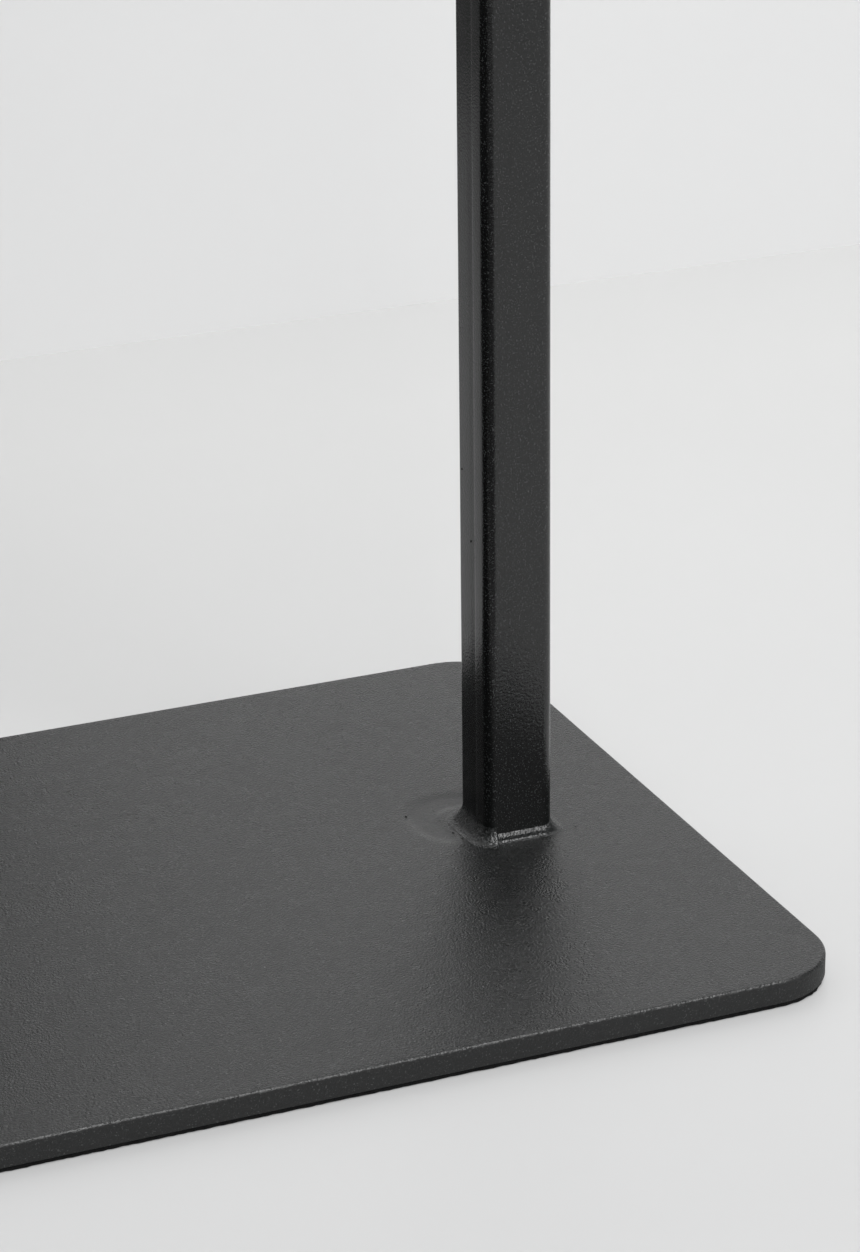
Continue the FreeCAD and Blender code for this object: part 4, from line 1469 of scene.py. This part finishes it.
def screw_template(shank, head, rise, key, length):
    """One button-head screw along +Z: shank from z = -length to 0, head above, hexagon socket."""
    ball = (head * head + rise * rise) / (2 * rise)
    rim_radius = key * 1.28
    profile = [(0, -length), (shank * 0.7, -length), (shank, -length + shank * 0.4), (shank, 0.0),
               (head * 0.97, 0.0), (head, rise * 0.06)]
    for i in range(1, DOME_STEPS + 1):
        r = head - (head - rim_radius) * i / DOME_STEPS
        dome = math.sqrt(max(0.0, ball * ball - r * r)) - ball + rise
        profile.append((r, max(dome, rise * 0.08)))
    points, faces = turned(profile, (0, 0, 0), (0, 0, 1), SCREW_SIDES)
    rim = list(range(len(points) - SCREW_SIDES, len(points)))
    reach = key / 2 / math.cos(math.radians(30))
    top = points[rim[0]].z

    def hexagon(scale, z):
        """The rim's points pulled in to the socket's hexagon."""
        ring = []
        for index in rim:
            way = Vector((points[index].x, points[index].y, 0)).normalized()
            a = math.atan2(way.y, way.x) % math.radians(60) - math.radians(30)
            ring.append(way * min(key / 2 / math.cos(a), reach) * scale + Vector((0, 0, z)))
        return ring

    previous = rim
    for ring in (hexagon(1.06, top), hexagon(1.0, top - 0.0001), hexagon(1.0, rise * 0.35)):
        current = list(range(len(points), len(points) + SCREW_SIDES))
        points.extend(ring)
        for i in range(SCREW_SIDES):
            j = (i + 1) % SCREW_SIDES
            faces.append((previous[i], previous[j], current[j], current[i]))
        previous = current
    faces.append(tuple(previous))
    return solid("screw_shape", (points, faces))


class VALET_OT_fasteners(bpy.types.Operator):
    """Adds every visible screw, and finishes the nuts, plugs, inserts and bushes"""

    bl_idname = "valet.fasteners"
    bl_label = "Fasteners"

    def execute(self, context):
        low, high = box_of("tray_bracket_screws")
        seat, eye = INNER_FACE - BRACKET_SHEET, BAIL_X - EYE_WIDTH / 2 - EYE_CLEARANCE
        heights = (low.z + BRACKET_SCREW[1], high.z - BRACKET_SCREW[1])
        self.screws("tray_bracket_screws", BRACKET_SCREW,
                    [((s * seat, 0, z), (-s, 0, 0)) for s in (-1, 1) for z in heights])
        self.screws("trouser_bar_screws", BAR_SCREW,
                    [((s * OUTER_FACE, 0, BAR_Z), (s, 0, 0)) for s in (-1, 1)])
        self.screws("clamp_screws", CLAMP_SCREW,
                    [((s * eye, 0, BAIL_PIVOT.z), (-s, 0, 0)) for s in (-1, 1)])
        self.screws("hanger_bolts", HANGER_BOLT,
                    [((s * STANDOFF_X, 0, RAIL_LOW.z), (0, 0, -1)) for s in (-1, 1)])
        for node in ("hanger_inserts", "tray_bracket_nuts", "clamp_nuts", "peg_nuts"):
            dress(node, zinc_plate())
        for node in ("trouser_bar_plugs", "clamp_bushes"):
            dress(node, black_nylon())
        return {"FINISHED"}

    def screws(self, node, shape, seats):
        """Screws of one size at their seats, in place of one frame node."""
        template = new_object(node + "_template", screw_template(*shape))
        base = bpy.data.meshes.new(node + "_seats")
        base.from_pydata([seat for seat, _ in seats], [], [])
        ways = base.attributes.new("way", "FLOAT_VECTOR", "POINT")
        for i, (_, way) in enumerate(seats):
            ways.data[i].vector = way
        placed_screws = grown(node + "_finished", base, fastener_tree(),
                              {"Fastener": template, "Scale": 1.0, "Finish": black_oxide()})
        bpy.data.objects.remove(template)
        place(placed_screws, "frame", "dark_screws", node)


# ---------------------------------------------------------------- studio


CAMERA_PLACE = Vector((-0.32256, -1.12810, 0.58343))
CAMERA_YAW = math.radians(22.454)
CAMERA_PITCH = math.radians(22.075)
CAMERA_ROLL = math.radians(-0.685)
CAMERA_LENS = 112.09


def camera_turn():
    """The camera's axes from its yaw, downward pitch and roll."""
    yaw, pitch, roll = CAMERA_YAW, CAMERA_PITCH, CAMERA_ROLL
    ahead = Vector((math.sin(yaw) * math.cos(pitch), math.cos(yaw) * math.cos(pitch),
                    -math.sin(pitch)))
    level = Vector((math.cos(yaw), -math.sin(yaw), 0))
    up = level.cross(ahead)
    right = level * math.cos(roll) + up * math.sin(roll)
    top = up * math.cos(roll) - level * math.sin(roll)
    return Matrix((right, top, -ahead)).transposed()


def soft_light(name, place_at, target, width, height, power):
    """A soft rectangular studio light."""
    data = bpy.data.lights.new(name, "AREA")
    data.shape = "RECTANGLE"
    data.size, data.size_y = width, height
    data.energy = power
    light = bpy.data.objects.new(name, data)
    light.location = place_at
    light.rotation_mode = "QUATERNION"
    light.rotation_quaternion = (Vector(target) - Vector(place_at)).to_track_quat("-Z", "Y")
    bpy.context.scene.collection.objects.link(light)


WALL_HEIGHT = 6
BEFORE_WALL = 0.01
ON_FLOOR = 0.001
WORLD_COLOUR, WORLD_STRENGTH = (0.93, 0.95, 0.97, 1), 0.24
CAMERA_SENSOR, CAMERA_CLIP = 36, (0.05, 60)


def floor_card(left, front, right, back):
    return [(left, front, ON_FLOOR), (right, front, ON_FLOOR), (right, back, ON_FLOOR),
            (left, back, ON_FLOOR)]


def upright_card(left, right, low, high, y):
    return [(left, y, low), (right, y, low), (right, y, high), (left, y, high)]


def studio_card(name, corners, near, far, faces=((0, 1, 2, 3),)):
    """A flat piece of the studio."""
    mesh = mesh_from(name + "_shape", corners, faces, smooth=False)
    card = new_object(name, mesh, studio_surface(near, far))
    return card


class VALET_OT_studio(bpy.types.Operator):
    """Adds the pale floor and wall, the soft lights and the camera"""

    bl_idname = "valet.studio"
    bl_label = "Studio"

    def execute(self, context):
        reach, wall_y = sizes().floor_reach, sizes().wall_distance
        floor = [(-reach, -reach, 0), (reach, -reach, 0), (reach, wall_y, 0), (-reach, wall_y, 0),
                 (reach, reach, 0), (-reach, reach, 0)]
        tints = colours()
        # The floor is painted lighter towards the wall: painted light.
        studio_card("studio_floor", floor, tints.floor, tints.back_floor,
                    faces=((0, 1, 2, 3), (3, 2, 4, 5)))
        studio_card("studio_wall", upright_card(-reach, reach, 0, WALL_HEIGHT, wall_y),
                    tints.wall, tints.wall)
        self.add_world()
        soft_light("overhead_light", place_at=(0.7, -0.75, 2.6), target=(0, 0.05, 0),
                   width=1.5, height=1.5, power=38)
        soft_light("wall_light", place_at=(0.4, -2.2, 2.4), target=(0, 0.6, 0.8),
                   width=2.2, height=1.0, power=66)
        self.add_flags(wall_y - BEFORE_WALL)
        self.add_camera()
        return {"FINISHED"}

    def add_flags(self, back):
        """Dark and grey cards round the stand, seen only in the coat's reflections: painted dark
        reflections that stand in for shade round the stand.
        """
        cards = (
            ("left", 0.010, [(-0.25, -0.42, 0), (-0.25, 0.30, 0), (-0.25, 0.30, 0.45),
                             (-0.25, -0.42, 0.45)]),
            ("left_floor", 0.010, floor_card(-1.2, -0.20, -0.24, 0.15)),
            ("front_floor", 0.030, [(-1.2, -1.3, ON_FLOOR), (0.36, -1.3, ON_FLOOR),
                                    (0.165, -0.20, ON_FLOOR), (-1.2, -0.20, ON_FLOOR)]),
            ("back_floor", 0.46, floor_card(-0.9, 0.15, 0.16, back)),
            ("back_low", 0.42, upright_card(-0.9, 0.13, 0, 0.1, back)),
            ("back", 0.15, upright_card(-0.9, 0.13, 0.1, 0.5, back)),
        )
        for name, tone, corners in cards:
            grey = (tone, tone, tone)
            reflection_card = studio_card("studio_flag_" + name, corners, grey, grey)
            # Seen by nothing but glossy rays, these cards are painted reflections.
            reflection_card.visible_camera = reflection_card.visible_shadow = reflection_card.visible_diffuse = False

    def add_world(self):
        world = bpy.data.worlds.new("studio_world")
        world.use_nodes = True
        background = node_of(world.node_tree, "BACKGROUND").inputs
        background["Color"].default_value = WORLD_COLOUR
        background["Strength"].default_value = WORLD_STRENGTH
        scene = bpy.context.scene
        scene.world = world
        scene.view_settings.view_transform = "Standard"

    def add_camera(self):
        data = bpy.data.cameras.new("studio_camera")
        data.sensor_width = CAMERA_SENSOR
        data.lens = CAMERA_LENS
        data.clip_start, data.clip_end = CAMERA_CLIP
        camera = bpy.data.objects.new("studio_camera", data)
        camera.matrix_world = Matrix.Translation(CAMERA_PLACE) @ camera_turn().to_4x4()
        bpy.context.scene.collection.objects.link(camera)
        bpy.context.scene.camera = camera


# ---------------------------------------------------------------- panel and registration


OPERATORS = (
    VALET_OT_base,
    VALET_OT_portal,
    VALET_OT_hanger,
    VALET_OT_tray,
    VALET_OT_trouser_bar,
    VALET_OT_pegs,
    VALET_OT_fasteners,
    VALET_OT_studio,
)


class VALET_PT_pieces(bpy.types.Panel):
    """Lists the stand's pieces"""

    bl_label = "Valet Stand"
    bl_idname = "VALET_PT_pieces"
    bl_space_type = "VIEW_3D"
    bl_region_type = "UI"
    bl_category = "Valet Stand"

    def draw(self, context):
        for operator in OPERATORS:
            self.layout.operator(operator.bl_idname)


CLASSES = (ValetSizes, ValetColours, *OPERATORS, VALET_PT_pieces)


def register():
    for item in CLASSES:
        bpy.utils.register_class(item)
    bpy.types.Scene.valet_sizes = PointerProperty(type=ValetSizes)
    bpy.types.Scene.valet_colours = PointerProperty(type=ValetColours)


def unregister():
    del bpy.types.Scene.valet_colours
    del bpy.types.Scene.valet_sizes
    for item in reversed(CLASSES):
        bpy.utils.unregister_class(item)


def main():
    register()
    bpy.ops.valet.base()
    bpy.ops.valet.portal()
    bpy.ops.valet.hanger()
    bpy.ops.valet.tray()
    bpy.ops.valet.trouser_bar()
    bpy.ops.valet.pegs()
    bpy.ops.valet.fasteners()
    bpy.ops.valet.studio()


if __name__ == "__main__":
    main()
